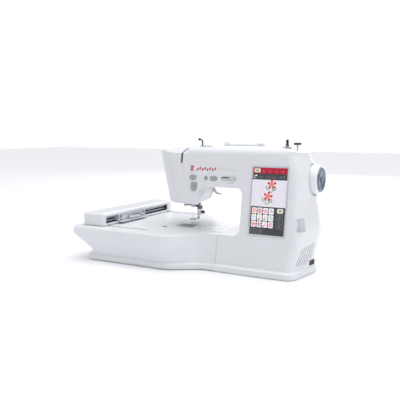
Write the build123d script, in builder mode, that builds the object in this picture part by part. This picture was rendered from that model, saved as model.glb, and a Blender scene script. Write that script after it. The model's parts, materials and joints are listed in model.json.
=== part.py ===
"""Free-arm embroidery machine with its embroidery unit attached.

The origin is at the middle of the footprint, on the surface the machine stands on.
+X runs to the right along the machine, +Y to its back and +Z up. All sizes are in mm.
"""

from build123d import *
from math import atan, cos, radians, sin, tan
import os

# ---------------------------------------------------------------- driving dimensions
WALL = 2.5                     # wall of every moulded shell
FIT = 0.3                      # gap round a piece that moves
RUNNING = 0.05                 # radial clearance of a shaft in its bearing
FLOOR_GAP = 2.0                # the casings stand this far above the table

# Machine casing
LEAN = tan(radians(8.2))       # the front leans back by this much per mm of height
FRONT_Y = -127.0               # front face, at table height
BACK_Y = 96.0
BACK_LEAN = 0.10
SEAM_X = 86.0                  # left end of the machine's base, where the unit meets it
BED_Z = 88.0
PARTING_Z = 62.4               # base cover below, front and rear covers above
SPLIT_Y = 10.0                 # front covers in front, rear cover behind
TOP_Z = 293.0
COLUMN_X = 142.0               # left side of the column
ARM_Z = 198.0                  # underside of the arm
HEAD_Z = 154.0                 # underside of the head
HEAD_BACK = 27.0               # the head's back, below the arm
BROW_X, BROW_Y, BROW_Z = -14.6, -88.8, 277.0
BROW_SLOPE = 0.36
END_LEVELS = ((-12, 292.0), (26, 293.0), (62, 300.0), (90, 305.4), (140, 300.0),
              (185, 294.5), (240, 292.5), (300, 291.5))
FLANGE = 5.0                   # the foot of the base stands out by this much
FLANGE_TOP = 14.0

# Front panel, measured up the slope
SLOPE = 1.0 / cos(radians(8.2))
BEZEL = (163.7, 256.5, 92.5 * SLOPE, 253.0 * SLOPE)
SCREEN_RIM = 4.4
INSET = 0.6                    # depth of the control panel on head and arm
KEY_PROUD = 1.0

# Sewing mechanism
NEEDLE_X, NEEDLE_Y = -40.0, -12.0
SHAFT_Z = 219.0                # main shaft, along X above the needle
SHAFT_R = 6.0
LOWER_Y, LOWER_Z = -10.0, 52.0
LOWER_R = 4.0
HOOK_X, HOOK_Y = -40.0, -38.0
BAR_R = 3.5
PRESSER_X, PRESSER_Y = -31.0, 9.0
PRESSER_R = 3.0
THREADER_X = -53.0
THREADER_R = 2.5
WHEEL_R = 34.8
WHEEL_FACE = 307.0
MOTOR_Y, MOTOR_Z = 40.0, 110.0

TOP_Y = -27.0                  # line of the thread guide and the bobbin winder on the top
WINDER_X, STOP_X = 225.0, 250.0
GUIDE_X = -3.0                 # upright of the thread guide, which bends over to a ball on its left
GUIDE_BALL, GUIDE_BALL_X, GUIDE_BALL_Z = 3.2, -12.0, 310.5
LAMP = (52.0, 82.0, -48.0, -28.0)
SWITCH = (-38.0, -14.0, 19.0, 31.0)
SWITCH_X, SWITCH_Y = 285.0, -26.0
PIVOT_R = 1.5                  # pivot of the mains switch
INLET = (30.0, 56.0, 22.0, 42.0)
RECESS = (275.0, -108.0, -80.0, 106.0, 138.0)

# Free arm, its plates and the base under it
ARM_LEFT = -89.0
ARM_FRONT, ARM_BACK = -85.0, 40.0
ARM_BOTTOM = 34.0
PLATE = (-80.0, 2.0, -22.0, 14.0)
HATCH = (-65.0, -15.0, -62.0, -22.0)
PLATE_Z = 86.0

# Embroidery unit
UNIT_LEFT = -308.0
UNIT_HALF = 188.0
UNIT_TOP = 87.0
SCREWS = ((110.0, 110.0), (250.0, 110.0), (110.0, 250.0), (250.0, 250.0), (-60.0, 250.0), (-60.0, 216.0))
POCKET = (-91.0, 90.0, -88.0, 43.0)       # cut-out round the free arm
UNIT_LEVELS = ((3, 12, -268), (13, 12, -268), (17, 16, -262), (28, 12.2, -254),
               (62.4, 0.6, -300), (68, 0, -308), (83.5, 0, -308), (87, 3, -304.5))
TRACK_Y = 144.0                # slots in the unit's top that the arm's legs run in
TRACK = (-262.0, -95.0)

# Embroidery arm and hoop carriage
CARRY = (-287.0, -219.0, -162.0, 168.0, 88.4, 120.0)
SLOT_Y = (-151.0, 142.0)
SEAM_GAP = 0.8                 # between the unit's end and the machine's base
SLOT_Z = (94.0, 111.0)
CARRIAGE = (-104.0, 16.0)

os.makedirs("parts", exist_ok=True)
front_panel = Plane(origin=(0, FRONT_Y, 0), x_dir=(1, 0, 0),
                    z_dir=(0, -cos(radians(8.2)), sin(radians(8.2))))
front_axis = Axis(front_panel.origin, front_panel.z_dir)


# ---------------------------------------------------------------- shared shapes
def face_on(plane, points, radii, inset=0.0):
    """A closed outline with rounded corners, drawn in by inset all round."""
    with BuildSketch(plane) as outline:
        with BuildLine():
            FilletPolyline(*points, radius=radii, close=True)
        make_face()
        if inset > 0:
            offset(amount=-inset, kind=Kind.INTERSECTION)
    return outline.sketch


def panel_on(plane, x0, x1, y0, y1, radius):
    """A rectangle with rounded corners, given by its sides."""
    with BuildSketch(plane) as outline:
        with Locations(((x0 + x1) / 2, (y0 + y1) / 2)):
            RectangleRounded(x1 - x0, y1 - y0, radius)
    return outline.sketch


def block(x0, x1, y0, y1, z0, z1, mode=Mode.ADD):
    """A square-edged block, given by its sides."""
    with BuildSketch(Plane.XY.offset(z0)) as foot:
        with Locations(((x0 + x1) / 2, (y0 + y1) / 2)):
            Rectangle(x1 - x0, y1 - y0)
    extrude(foot.sketch, amount=z1 - z0, mode=mode)


def rod_x(radius, x0, x1, y, z, mode=Mode.ADD):
    """A round bar along X."""
    with BuildSketch(Plane.YZ.offset(x0)) as disc:
        with Locations((y, z)):
            Circle(radius)
    extrude(disc.sketch, amount=x1 - x0, mode=mode)


def rod_y(radius, y0, y1, x, z, mode=Mode.ADD):
    """A round bar along Y."""
    with BuildSketch(Plane.ZX.offset(y0)) as disc:
        with Locations((z, x)):
            Circle(radius)
    extrude(disc.sketch, amount=y1 - y0, mode=mode)


def rod_z(radius, z0, z1, x, y, mode=Mode.ADD):
    """A round bar along Z."""
    with BuildSketch(Plane.XY.offset(z0)) as disc:
        with Locations((x, y)):
            Circle(radius)
    extrude(disc.sketch, amount=z1 - z0, mode=mode)


def save(part, name):
    """Label a finished piece and write it."""
    part.label = name
    export_step(part, "parts/" + name + ".step")


# ---------------------------------------------------------------- machine casing
def casing_section(height, end_x, inset):
    """Plan outline of the machine at one height."""
    left = -121.0 + (279.0 - height) * 0.1825 + max(0.0, 240.0 - height) * 0.127 + inset
    front = FRONT_Y + height * LEAN + inset
    back = BACK_Y - height * BACK_LEAN - inset
    right = end_x - inset
    draw_in = 36.0 - 9.0 * min(1.0, max(0.0, (height - 40.0) / 50.0))
    points = [(left, front), (right - 18, front), (right, -10), (right - draw_in, back), (left, back)]
    radii = [78 - inset, 21 - inset, 100 - inset, 40 - inset, 45 - inset]
    return face_on(Plane.XY.offset(height), points, radii)


def beside_head(inset):
    """The space to the right of the head's lower flank, which slopes and narrows to the back."""
    flank = Plane(origin=(20, -105, HEAD_Z), x_dir=(-22, 100, 0), z_dir=(3200, 704, -1590))
    with BuildPart() as space:
        block(-100, 100, -200, 60, 100, ARM_Z + inset)
        with BuildSketch(flank.offset(-inset)) as cut:
            Rectangle(900, 900)
        extrude(cut.sketch, amount=-600, mode=Mode.SUBTRACT)
    return space.part


def casing_form(inset):
    """The outer form of base, column, arm and head, drawn in by inset."""
    sections = [casing_section(height, end_x, inset) for height, end_x in END_LEVELS]
    front_points = [(SEAM_X, -10), (340, -10), (340, 272), (290, 276.5), (250, 288), (225, TOP_Z),
                    (-14, TOP_Z), (-108, 281), (-140, 251), (-140, 174), (-60, HEAD_Z), (20, HEAD_Z),
                    (23.5, ARM_Z), (COLUMN_X, ARM_Z), (COLUMN_X, BED_Z), (SEAM_X, BED_Z)]
    front_radii = [0, 0, 0, 30, 40, 40, 60, 10, 0, 0, 30, 5, 18, 15, 15, 0]
    top_front = FRONT_Y + TOP_Z * LEAN + 0.05
    low_front = FRONT_Y - 10 * LEAN + 0.05
    side_points = [(low_front, -10), (top_front, TOP_Z), (32, TOP_Z), (72, 272), (120, 250), (120, -10)]
    side_radii = [0, 21, 40, 25, 0, 0]
    with BuildPart() as form:
        loft(sections)
        extrude(face_on(Plane.XZ, front_points, front_radii, inset), amount=200, both=True,
                mode=Mode.INTERSECT)
        extrude(face_on(Plane.YZ, side_points, side_radii, inset), amount=400, both=True,
                mode=Mode.INTERSECT)
        # Below the arm the head ends close behind the presser bar, and its flank draws in to the back
        block(-200, 100, HEAD_BACK - inset, 300, 100, ARM_Z + inset, Mode.SUBTRACT)
        add(beside_head(inset), mode=Mode.SUBTRACT)
        # Over the face cover the head's top slopes down to the front
        drop = inset / cos(atan(BROW_SLOPE))
        with BuildSketch(Plane.YZ.offset(BROW_X + inset)) as brow:
            with BuildLine():
                Polyline((BROW_Y - 12, BROW_Z - 12 * BROW_SLOPE - drop), (BROW_Y + 60, BROW_Z + 60 * BROW_SLOPE - drop),
                         (BROW_Y + 60, 330), (BROW_Y - 12, 330), close=True)
            make_face()
        extrude(brow.sketch, amount=-200, mode=Mode.SUBTRACT)
    return form.part


def flange_ring():
    """The foot that stands out round the bottom of the base."""
    section = casing_section(FLOOR_GAP, 293.0, -FLANGE)
    with BuildPart() as ring:
        extrude(section, amount=FLANGE_TOP - FLOOR_GAP)
        extrude(casing_section(FLANGE_TOP, 293.0, -FLANGE), amount=4, taper=50)
        block(-400, SEAM_X, -300, 300, -20, 100, Mode.SUBTRACT)
    return ring.part


def half_space(x0=-500, x1=500, y0=-500, y1=500, z0=-50, z1=500):
    """A block that keeps one side of a cut."""
    with BuildPart() as keep:
        block(x0, x1, y0, y1, z0, z1)
    return keep.part


outer_form = casing_form(0)
inner_form = casing_form(WALL)
FACE_LINE = [(-300, 400), (-17, 400), (-15, 270), (-7, 214), (5, 166), (8, 120), (-300, 120)]
FACE_GAP = 0.9
# A shallow line down the face cover, from the thread slot to the underside
CREASE_LINE = [(-24.2, 258), (-23.5, 258), (-17.0, 209), (-9.3, 150), (-10.1, 150), (-17.7, 209)]
WELL_R = 39.5

# Field of slanted air slots on the right-hand end, sloping down to the back
VENT_FIELD = [(-105, 28), (-92, 69), (-32, 76), (-28, 37), (-44, 34.5), (-48, 26)]
VENT_PITCH, VENT_WIDTH, VENT_DROP = 9.4, 3.9, 1.12
with BuildSketch(Plane.YZ.offset(270)) as vent_slots:
    for index in range(14):
        low_y = -116 + index * VENT_PITCH
        high_y = low_y - 60 * VENT_DROP
        with BuildLine():
            Polyline((low_y + 22, 20), (low_y + 22 + VENT_WIDTH, 20), (high_y + 22 + VENT_WIDTH, 80),
                     (high_y + 22, 80), close=True)
        make_face()
    with BuildLine():
        FilletPolyline(*VENT_FIELD, radius=3, close=True)
    make_face(mode=Mode.INTERSECT)

with BuildPart() as casing_shell:
    add(outer_form)
    add(inner_form, mode=Mode.SUBTRACT)
    # Opening under the head for the needle, presser and threader, and the way for the lifter
    block(-72, -15, -40, 21, 140, 170, Mode.SUBTRACT)
    block(-18, 60, 13.8, 22.2, 140, 190, Mode.SUBTRACT)
    # The free arm joins the base through its left wall
    block(80, 92, ARM_FRONT + WALL, ARM_BACK - WALL, ARM_BOTTOM + WALL, BED_Z - WALL, Mode.SUBTRACT)
    # Slot for the bobbin winder, hole for its stop, window for the lamp
    block(WINDER_X - 5.5, WINDER_X + 11, TOP_Y - 5.5, TOP_Y + 5.5, 270, 300, Mode.SUBTRACT)
    rod_z(2.1, 270, 300, STOP_X, TOP_Y, Mode.SUBTRACT)
    block(LAMP[0], LAMP[1], LAMP[2], LAMP[3], 190, 203, Mode.SUBTRACT)
    # Round opening for the handwheel
    rod_x(WELL_R, 262, 330, NEEDLE_Y, SHAFT_Z, Mode.SUBTRACT)
    extrude(vent_slots.sketch, amount=60, mode=Mode.SUBTRACT)

with BuildPart() as base_cover:
    add(casing_shell.part)
    add(flange_ring())
    add(inner_form, mode=Mode.SUBTRACT)
    add(half_space(z0=FLOOR_GAP, z1=PARTING_Z), mode=Mode.INTERSECT)
    # Windows for the mains switch and the mains inlet
    block(280, 320, SWITCH[0], SWITCH[1], SWITCH[2], SWITCH[3], Mode.SUBTRACT)
    block(255, 310, INLET[0], INLET[1], INLET[2], INLET[3], Mode.SUBTRACT)
    # Two lugs that carry the switch's pivot
    for low_z in (SWITCH[2] - 4.5, SWITCH[3] + 0.6):
        block(281.5, 290, -30, -22, low_z, low_z + 3.9)
    rod_z(PIVOT_R + RUNNING, SWITCH[2] - 5, SWITCH[3] + 5, SWITCH_X, SWITCH_Y, Mode.SUBTRACT)
    # Way for the base pan's tongue under the free arm
    block(80, 92, ARM_FRONT + 1, ARM_BACK - 1, -5, 14.5, Mode.SUBTRACT)
    # Window that the embroidery unit's plug reaches through
    block(80, 92, 59, 77, 27, 37, Mode.SUBTRACT)
save(base_cover.part, "base_cover")


# ---------------------------------------------------------------- upper covers
with BuildPart() as upper_front:
    add(casing_shell.part)
    add(half_space(z0=PARTING_Z, y1=SPLIT_Y), mode=Mode.INTERSECT)

with BuildPart() as face_cover:
    add(upper_front.part)
    extrude(face_on(Plane.XZ, FACE_LINE, [0] * 7), amount=300, both=True, mode=Mode.INTERSECT)
    # Thread slot, from the front over the top edge
    block(-30.3, -25.0, -100, -40, 253, 310, Mode.SUBTRACT)
    with BuildSketch(front_panel.offset(-0.6)) as crease:
        with BuildLine():
            Polyline(*[(x, z * SLOPE) for x, z in CREASE_LINE], close=True)
        make_face()
    extrude(crease.sketch, amount=3, mode=Mode.SUBTRACT)
save(face_cover.part, "face_cover")

BUTTONS = {"reverse_button": (8.0, 219.6 * SLOPE), "needle_button": (12.0, 197.0 * SLOPE),
           "cutter_button": (44.0, 219.0 * SLOPE), "start_button": (65.0, 219.0 * SLOPE)}
SLIDER = (84.0, 125.0, 220.0 * SLOPE)


def button_outline(name, grow):
    """The face of one button, drawn out by grow all round."""
    across, up = BUTTONS[name]
    with BuildSketch(front_panel) as face:
        if name == "needle_button":
            shield = [(-9, 11), (9, 11), (9, -3), (4.5, -11.5), (-4.5, -11.5), (-9, -3)]
            with BuildLine():
                FilletPolyline([(across + x, up + y) for x, y in shield],
                               radius=[3, 3, 5, 3, 3, 5], close=True)
            make_face()
        else:
            with Locations((across, up)):
                if name == "cutter_button":
                    Circle(5)
                else:
                    SlotOverall(20, 11.5)
        if grow > 0:
            offset(amount=grow)
    return face.sketch


with BuildPart() as front_cover:
    add(upper_front.part)
    extrude(face_on(Plane.XZ, FACE_LINE, [0] * 7, -FACE_GAP), amount=300, both=True, mode=Mode.SUBTRACT)
    # The control panel on head and arm lies a little deeper than the column
    inset_plane = Plane(front_panel.origin - front_panel.z_dir * INSET, front_panel.x_dir, front_panel.z_dir)
    inset_points = [(-60, 257), (144.5, 257), (144.5, 203), (120, 190), (60, 130), (-60, 130)]
    extrude(face_on(inset_plane, inset_points, [0, 12, 0, 0, 0, 0]), amount=INSET + 0.1, taper=-65,
            mode=Mode.SUBTRACT)
    for button in BUTTONS:
        extrude(button_outline(button, FIT), amount=8, both=True, mode=Mode.SUBTRACT)
    extrude(panel_on(front_panel, SLIDER[0], SLIDER[1], SLIDER[2] - 5, SLIDER[2] + 5, 4.9), amount=8,
            both=True, mode=Mode.SUBTRACT)
    extrude(panel_on(front_panel, BEZEL[0], BEZEL[1], BEZEL[2], BEZEL[3], 4), amount=8, both=True,
            mode=Mode.SUBTRACT)
    # Port recess behind the front right-hand corner: a moulded cup, open to the right
    add(half_space(RECESS[0] - 2, 300, RECESS[1] - 2, RECESS[2] + 2, RECESS[3] - 2, RECESS[4] + 2))
    add(outer_form, mode=Mode.INTERSECT)
    block(RECESS[0], 330, RECESS[1], RECESS[2], RECESS[3], RECESS[4], Mode.SUBTRACT)
save(front_cover.part, "front_cover")

with BuildPart() as rear_cover:
    add(casing_shell.part)
    add(half_space(z0=PARTING_Z, y0=SPLIT_Y), mode=Mode.INTERSECT)
    # Ways for the six casing screws
    for x, z in SCREWS:
        rod_y(2.2, 40, 120, x, z, Mode.SUBTRACT)
        rod_y(4.0, BACK_Y - z * BACK_LEAN - 1.0, 120, x, z, Mode.SUBTRACT)
save(rear_cover.part, "rear_cover")

with BuildPart() as casing_screws:
    for x, z in SCREWS:
        surface = BACK_Y - z * BACK_LEAN
        rod_y(2.1, surface - 12, surface - 0.9, x, z)
        rod_y(3.8, surface - 0.9, surface + 1.0, x, z)
save(casing_screws.part, "casing_screws")

with BuildPart() as handwheel_well:
    rod_x(WELL_R, 275, 300, NEEDLE_Y, SHAFT_Z)
    rod_x(WHEEL_R + 2.7, 277, 310, NEEDLE_Y, SHAFT_Z, Mode.SUBTRACT)
    rod_x(SHAFT_R + 0.5, 270, 280, NEEDLE_Y, SHAFT_Z, Mode.SUBTRACT)
    add(outer_form, mode=Mode.INTERSECT)
save(handwheel_well.part, "handwheel_well")

# ---------------------------------------------------------------- front panel pieces
with BuildPart() as screen_bezel:
    extrude(panel_on(front_panel, BEZEL[0], BEZEL[1], BEZEL[2], BEZEL[3], 4), amount=1.2)
    extrude(panel_on(front_panel, BEZEL[0], BEZEL[1], BEZEL[2], BEZEL[3], 4), amount=-5)
    chamfer(screen_bezel.faces().sort_by(front_axis)[-1].outer_wire().edges(), 0.8)
    inner = [BEZEL[0] + SCREEN_RIM, BEZEL[1] - SCREEN_RIM, BEZEL[2] + SCREEN_RIM, BEZEL[3] - SCREEN_RIM]
    extrude(panel_on(front_panel, *inner, 1.5), amount=8, both=True, mode=Mode.SUBTRACT)
save(screen_bezel.part, "screen_bezel")

with BuildPart() as display_screen:
    extrude(panel_on(front_panel, *inner, 1.5), amount=0.5)
    extrude(panel_on(front_panel, *inner, 1.5), amount=-4.5)
save(display_screen.part, "display_screen")

with BuildPart() as control_board:
    board = Plane(front_panel.origin - front_panel.z_dir * 18, front_panel.x_dir, front_panel.z_dir)
    extrude(panel_on(board, 170, 250, 104, 246, 2), amount=1.6)
    for across, up, width, height, depth in ((190, 130, 18, 18, 4), (225, 135, 14, 22, 6),
                                             (200, 200, 24, 12, 5), (232, 215, 16, 16, 8)):
        extrude(panel_on(board, across - width / 2, across + width / 2, up - height / 2,
                         up + height / 2, 1), amount=depth)
save(control_board.part, "control_board")

with BuildPart() as speed_slider:
    top = Plane(front_panel.origin - front_panel.z_dir * 2.2, front_panel.x_dir, front_panel.z_dir)
    extrude(panel_on(top, SLIDER[1] - 18, SLIDER[1] - 1, SLIDER[2] - 4.5, SLIDER[2] + 4.5, 3.5), amount=4.2)
    chamfer(speed_slider.faces().sort_by(front_axis)[-1].outer_wire().edges(), 0.7)
save(speed_slider.part, "speed_slider")

for button in BUTTONS:
    with BuildPart() as push_button:
        extrude(button_outline(button, 0), amount=KEY_PROUD)
        chamfer(push_button.faces().sort_by(front_axis)[-1].outer_wire().edges(), 0.5)
        extrude(button_outline(button, 0), amount=-5)
    save(push_button.part, button)


# ---------------------------------------------------------------- things on the casing
with BuildPart() as lamp_lens:
    block(LAMP[0], LAMP[1], LAMP[2], LAMP[3], ARM_Z, ARM_Z + WALL)
    block(LAMP[0] - 2, LAMP[1] + 2, LAMP[2] - 2, LAMP[3] + 2, ARM_Z + WALL, ARM_Z + WALL + 1.5)
save(lamp_lens.part, "lamp_lens")

with BuildPart() as top_thread_guide:
    with BuildLine(Plane.XZ.offset(-TOP_Y)) as hook_line:
        FilletPolyline((GUIDE_X, TOP_Z + 0.5), (GUIDE_X, TOP_Z + 17), (GUIDE_BALL_X, GUIDE_BALL_Z + 0.1),
                       radius=6.5)
    with BuildSketch(Plane.XY.offset(TOP_Z + 0.5)) as section:
        with Locations((GUIDE_X, TOP_Y)):
            Circle(1.6)
    sweep(section.sketch, path=hook_line.line)
    with BuildSketch(Plane.XZ.offset(-TOP_Y)) as half_ball:
        with BuildLine():
            CenterArc((GUIDE_BALL_X, GUIDE_BALL_Z), GUIDE_BALL, 0, 180)
            Line((GUIDE_BALL_X - GUIDE_BALL, GUIDE_BALL_Z), (GUIDE_BALL_X + GUIDE_BALL, GUIDE_BALL_Z))
        make_face()
    revolve(half_ball.sketch, axis=Axis((GUIDE_BALL_X, TOP_Y, GUIDE_BALL_Z), (1, 0, 0)))
    block(-6, 20, TOP_Y - 6, TOP_Y + 6, TOP_Z, TOP_Z + 1.2)
save(top_thread_guide.part, "top_thread_guide")

with BuildPart() as winder_seat:
    rod_z(12.5, TOP_Z + 0.4, TOP_Z + 2.0, WINDER_X, TOP_Y)
    rod_z(4.6, TOP_Z + 2.0, TOP_Z + 5.0, WINDER_X, TOP_Y)
    rod_z(5.0, 282, TOP_Z + 0.4, WINDER_X, TOP_Y)
    rod_z(2.0 + RUNNING, TOP_Z, TOP_Z + 6, WINDER_X, TOP_Y, Mode.SUBTRACT)
save(winder_seat.part, "winder_seat")

with BuildPart() as winder_spindle:
    rod_z(2.0, TOP_Z + 0.6, TOP_Z + 5.3, WINDER_X, TOP_Y)
    rod_z(4.4, TOP_Z + 5.3, TOP_Z + 6.8, WINDER_X, TOP_Y)
    rod_z(3.0, TOP_Z + 6.8, TOP_Z + 19, WINDER_X, TOP_Y)
    chamfer(winder_spindle.faces().sort_by(Axis.Z)[-1].edges(), 0.8)
save(winder_spindle.part, "winder_spindle")

with BuildPart() as winder_stop:
    rod_z(2.05, 282, TOP_Z + 7, STOP_X, TOP_Y)
    rod_z(8.5, TOP_Z + 7, TOP_Z + 11.5, STOP_X, TOP_Y)
    chamfer(winder_stop.faces().sort_by(Axis.Z)[-1].edges(), 0.8)
save(winder_stop.part, "winder_stop")

with BuildPart() as spool_pin:
    block(122, 134, 40, 52, 276, 300)
    add(outer_form, mode=Mode.SUBTRACT)
    rod_x(3.0, 28, 122, 46, 295)
    rod_x(8.0, 26, 29, 46, 295)
    rod_x(6.0, 29, 36, 46, 295)
save(spool_pin.part, "spool_pin")

with BuildPart() as power_switch:
    with BuildSketch(Plane.XY.offset(SWITCH[2] + FIT)) as rocker:
        with BuildLine():
            Polyline((SWITCH_X - 2, SWITCH_Y - 10.4), (SWITCH_X + 4.2, SWITCH_Y - 10.4),
                     (SWITCH_X + 5.8, SWITCH_Y), (SWITCH_X + 8.6, SWITCH_Y + 10.4),
                     (SWITCH_X - 2, SWITCH_Y + 10.4), close=True)
        make_face()
    extrude(amount=SWITCH[3] - SWITCH[2] - 2 * FIT)
    rod_z(PIVOT_R, SWITCH[2] - 4, SWITCH[3] + 4, SWITCH_X, SWITCH_Y)
save(power_switch.part, "power_switch")

with BuildPart() as power_inlet:
    block(252, 310, INLET[0], INLET[1], INLET[2], INLET[3])
    add(outer_form, mode=Mode.INTERSECT)
    block(262, 310, INLET[0] + 3, INLET[1] - 3, INLET[2] + 3, INLET[3] - 3, Mode.SUBTRACT)
    for offset_y in (-5, 5):
        rod_x(1.2, 262, 269, (INLET[0] + INLET[1]) / 2 + offset_y, (INLET[2] + INLET[3]) / 2)
save(power_inlet.part, "power_inlet")

# ---------------------------------------------------------------- base
with BuildPart() as base_pan:
    extrude(casing_section(3, 293.0, WALL + 1.0), amount=3)
    block(-400, 89, -300, 300, 0, 10, Mode.SUBTRACT)
    block(-86, 89, ARM_FRONT + 3, ARM_BACK - 3, 3, 6)
    block(-86, 85, ARM_FRONT + 3, ARM_FRONT + 6, 6, 14)
    block(-86, 85, ARM_BACK - 6, ARM_BACK - 3, 6, 14)
    block(-86, -83, ARM_FRONT + 3, ARM_BACK - 3, 6, 14)
save(base_pan.part, "base_pan")

with BuildPart() as machine_feet:
    for x, y in ((115, -100), (262, -92), (250, 62), (115, 72), (-70, -66), (-70, 22)):
        rod_z(10, 0, 3, x, y)
save(machine_feet.part, "machine_feet")


# ---------------------------------------------------------------- free arm
def arm_form(inset):
    """Outer form of the free arm, drawn in by inset."""
    right = SEAM_X + (20 if inset > 0 else 0)
    plan = [(ARM_LEFT, ARM_FRONT), (right, ARM_FRONT), (right, ARM_BACK), (ARM_LEFT, ARM_BACK)]
    end = [(ARM_FRONT, ARM_BOTTOM), (ARM_BACK, ARM_BOTTOM), (ARM_BACK, BED_Z), (ARM_FRONT, BED_Z)]
    with BuildPart() as form:
        extrude(face_on(Plane.XY.offset(ARM_BOTTOM), plan, [20, 0, 0, 20], inset), amount=BED_Z)
        extrude(face_on(Plane.YZ, end, [14, 14, 3, 3], inset), amount=200, both=True,
                mode=Mode.INTERSECT)
    return form.part


with BuildPart() as free_arm_cover:
    add(arm_form(0))
    add(arm_form(WALL), mode=Mode.SUBTRACT)
    # Ledges that the needle plate and the hatch over the bobbin lie on
    block(PLATE[0] - 3, PLATE[1] + 3, PLATE[2] - 3, PLATE[3] + 3, 83.5, PLATE_Z)
    block(HATCH[0] - 3, HATCH[1] + 3, HATCH[2] - 3, HATCH[3], 83.5, PLATE_Z)
    block(PLATE[0] + 4, PLATE[1] - 4, PLATE[2] + 2, PLATE[3] - 2, 80, 90, Mode.SUBTRACT)
    block(HATCH[0] + 3, HATCH[1] - 3, HATCH[2] + 2, HATCH[3] + 4, 80, 90, Mode.SUBTRACT)
    block(PLATE[0], PLATE[1], PLATE[2], PLATE[3], PLATE_Z, 90, Mode.SUBTRACT)
    block(HATCH[0], HATCH[1], HATCH[2], HATCH[3], PLATE_Z, 90, Mode.SUBTRACT)
save(free_arm_cover.part, "free_arm_cover")

with BuildPart() as needle_plate:
    block(PLATE[0], PLATE[1], PLATE[2], PLATE[3], PLATE_Z, BED_Z + 0.3)
    with BuildSketch(Plane.XY.offset(80)) as needle_hole:
        with Locations((NEEDLE_X, NEEDLE_Y)):
            SlotOverall(8, 2.4)
    extrude(amount=20, mode=Mode.SUBTRACT)
    for offset_x in (-9, 0, 9):
        front = NEEDLE_Y + (6 if offset_x == 0 else 2)
        block(NEEDLE_X + offset_x - 2.1, NEEDLE_X + offset_x + 2.1, front, 8, 80, 90, Mode.SUBTRACT)
save(needle_plate.part, "needle_plate")

with BuildPart() as bobbin_hatch:
    block(HATCH[0] + FIT, HATCH[1] - FIT, HATCH[2] + FIT, HATCH[3] - FIT, PLATE_Z + 0.1, BED_Z)
    with Locations((HATCH[1] - 8, HATCH[2] + 8, BED_Z)):
        Sphere(4, mode=Mode.SUBTRACT)
save(bobbin_hatch.part, "bobbin_hatch")

with BuildPart() as feed_dog:
    block(NEEDLE_X - 12, NEEDLE_X + 12, NEEDLE_Y + 2, 9, 77, 80.5)
    for offset_x in (-9, 0, 9):
        front = NEEDLE_Y + (7 if offset_x == 0 else 3)
        block(NEEDLE_X + offset_x - 1.6, NEEDLE_X + offset_x + 1.6, front, 7.4, 80.5, 83.4)
        for step in range(4):
            tooth = front + 1.0 + step * 2.6
            block(NEEDLE_X + offset_x - 1.6, NEEDLE_X + offset_x + 1.6, tooth, tooth + 1.2, 83.4, 84.4)
save(feed_dog.part, "feed_dog")

# ---------------------------------------------------------------- frame and drive
with BuildPart() as machine_frame:
    block(100, 272, -20, 30, 6, 12)
    block(146, 152, -50, 45, 12, 262)
    block(262, 268, -50, 24, 12, 250)
    block(255, 262, 18, 36, 205, 250)
    block(-65, 255, 30, 36, 205, 268)
    block(-70, -65, -45, 22, 170, 268)
    block(-70, -65, 20, 36, 205, 268)
    block(-65, -25, -24, 16, 172, 180)
    block(-65, -25, -24, 16, 240, 248)
    block(0, 8, -24, 30, 207, 231)
    block(-18, -6, 21.2, 24.2, 184, 212)
    block(-18, -6, 21.2, 36, 205, 212)
    rod_y(2.5, 13.5, 22, -12, 190)
    rod_x(2.5, -65, -24.5, -40, 232)
    block(152, 165, 20, 60, 95, 125)
    # Lower arm inside the free arm, with the bearings of the lower shaft and the hook
    block(-66, 150, 14, 30, 44, 60)
    block(-12, -6, -18, 14, 44, 60)
    block(-66, -50, -60, 14, 53, 59)
    block(-50, -14, -60, -26, 53, 59)
    rod_x(SHAFT_R + RUNNING, -10, 275, NEEDLE_Y, SHAFT_Z, Mode.SUBTRACT)
    rod_x(LOWER_R + RUNNING, -20, 160, LOWER_Y, LOWER_Z, Mode.SUBTRACT)
    rod_z(4 + RUNNING, 50, 62, HOOK_X, HOOK_Y, Mode.SUBTRACT)
    for x, y, radius in ((NEEDLE_X, NEEDLE_Y, BAR_R), (PRESSER_X, PRESSER_Y, PRESSER_R),
                         (THREADER_X, NEEDLE_Y, THREADER_R)):
        rod_z(radius + RUNNING, 160, 250, x, y, Mode.SUBTRACT)
save(machine_frame.part, "machine_frame")

with BuildPart() as main_shaft:
    rod_x(SHAFT_R, -20, 300, NEEDLE_Y, SHAFT_Z)
    rod_x(18, -24, -20, NEEDLE_Y, SHAFT_Z)
    rod_x(2, -27, -24, NEEDLE_Y, SHAFT_Z + 15.5)
    rod_x(14, 212, 222, NEEDLE_Y, SHAFT_Z)
    rod_x(24, 236, 246, NEEDLE_Y, SHAFT_Z)
save(main_shaft.part, "main_shaft")

with BuildPart() as handwheel:
    rod_x(WHEEL_R, 279.5, WHEEL_FACE - 4, NEEDLE_Y, SHAFT_Z)
    fillet(handwheel.faces().sort_by(Axis.X)[-1].edges(), 4.5)
    rod_x(WHEEL_R - 4, 270, 294, NEEDLE_Y, SHAFT_Z, Mode.SUBTRACT)
    rod_x(11, 279.5, 296, NEEDLE_Y, SHAFT_Z)
    rod_x(SHAFT_R, 270, 300, NEEDLE_Y, SHAFT_Z, Mode.SUBTRACT)
    rod_x(28.2, WHEEL_FACE - 6, WHEEL_FACE, NEEDLE_Y, SHAFT_Z, Mode.SUBTRACT)
save(handwheel.part, "handwheel")

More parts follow.
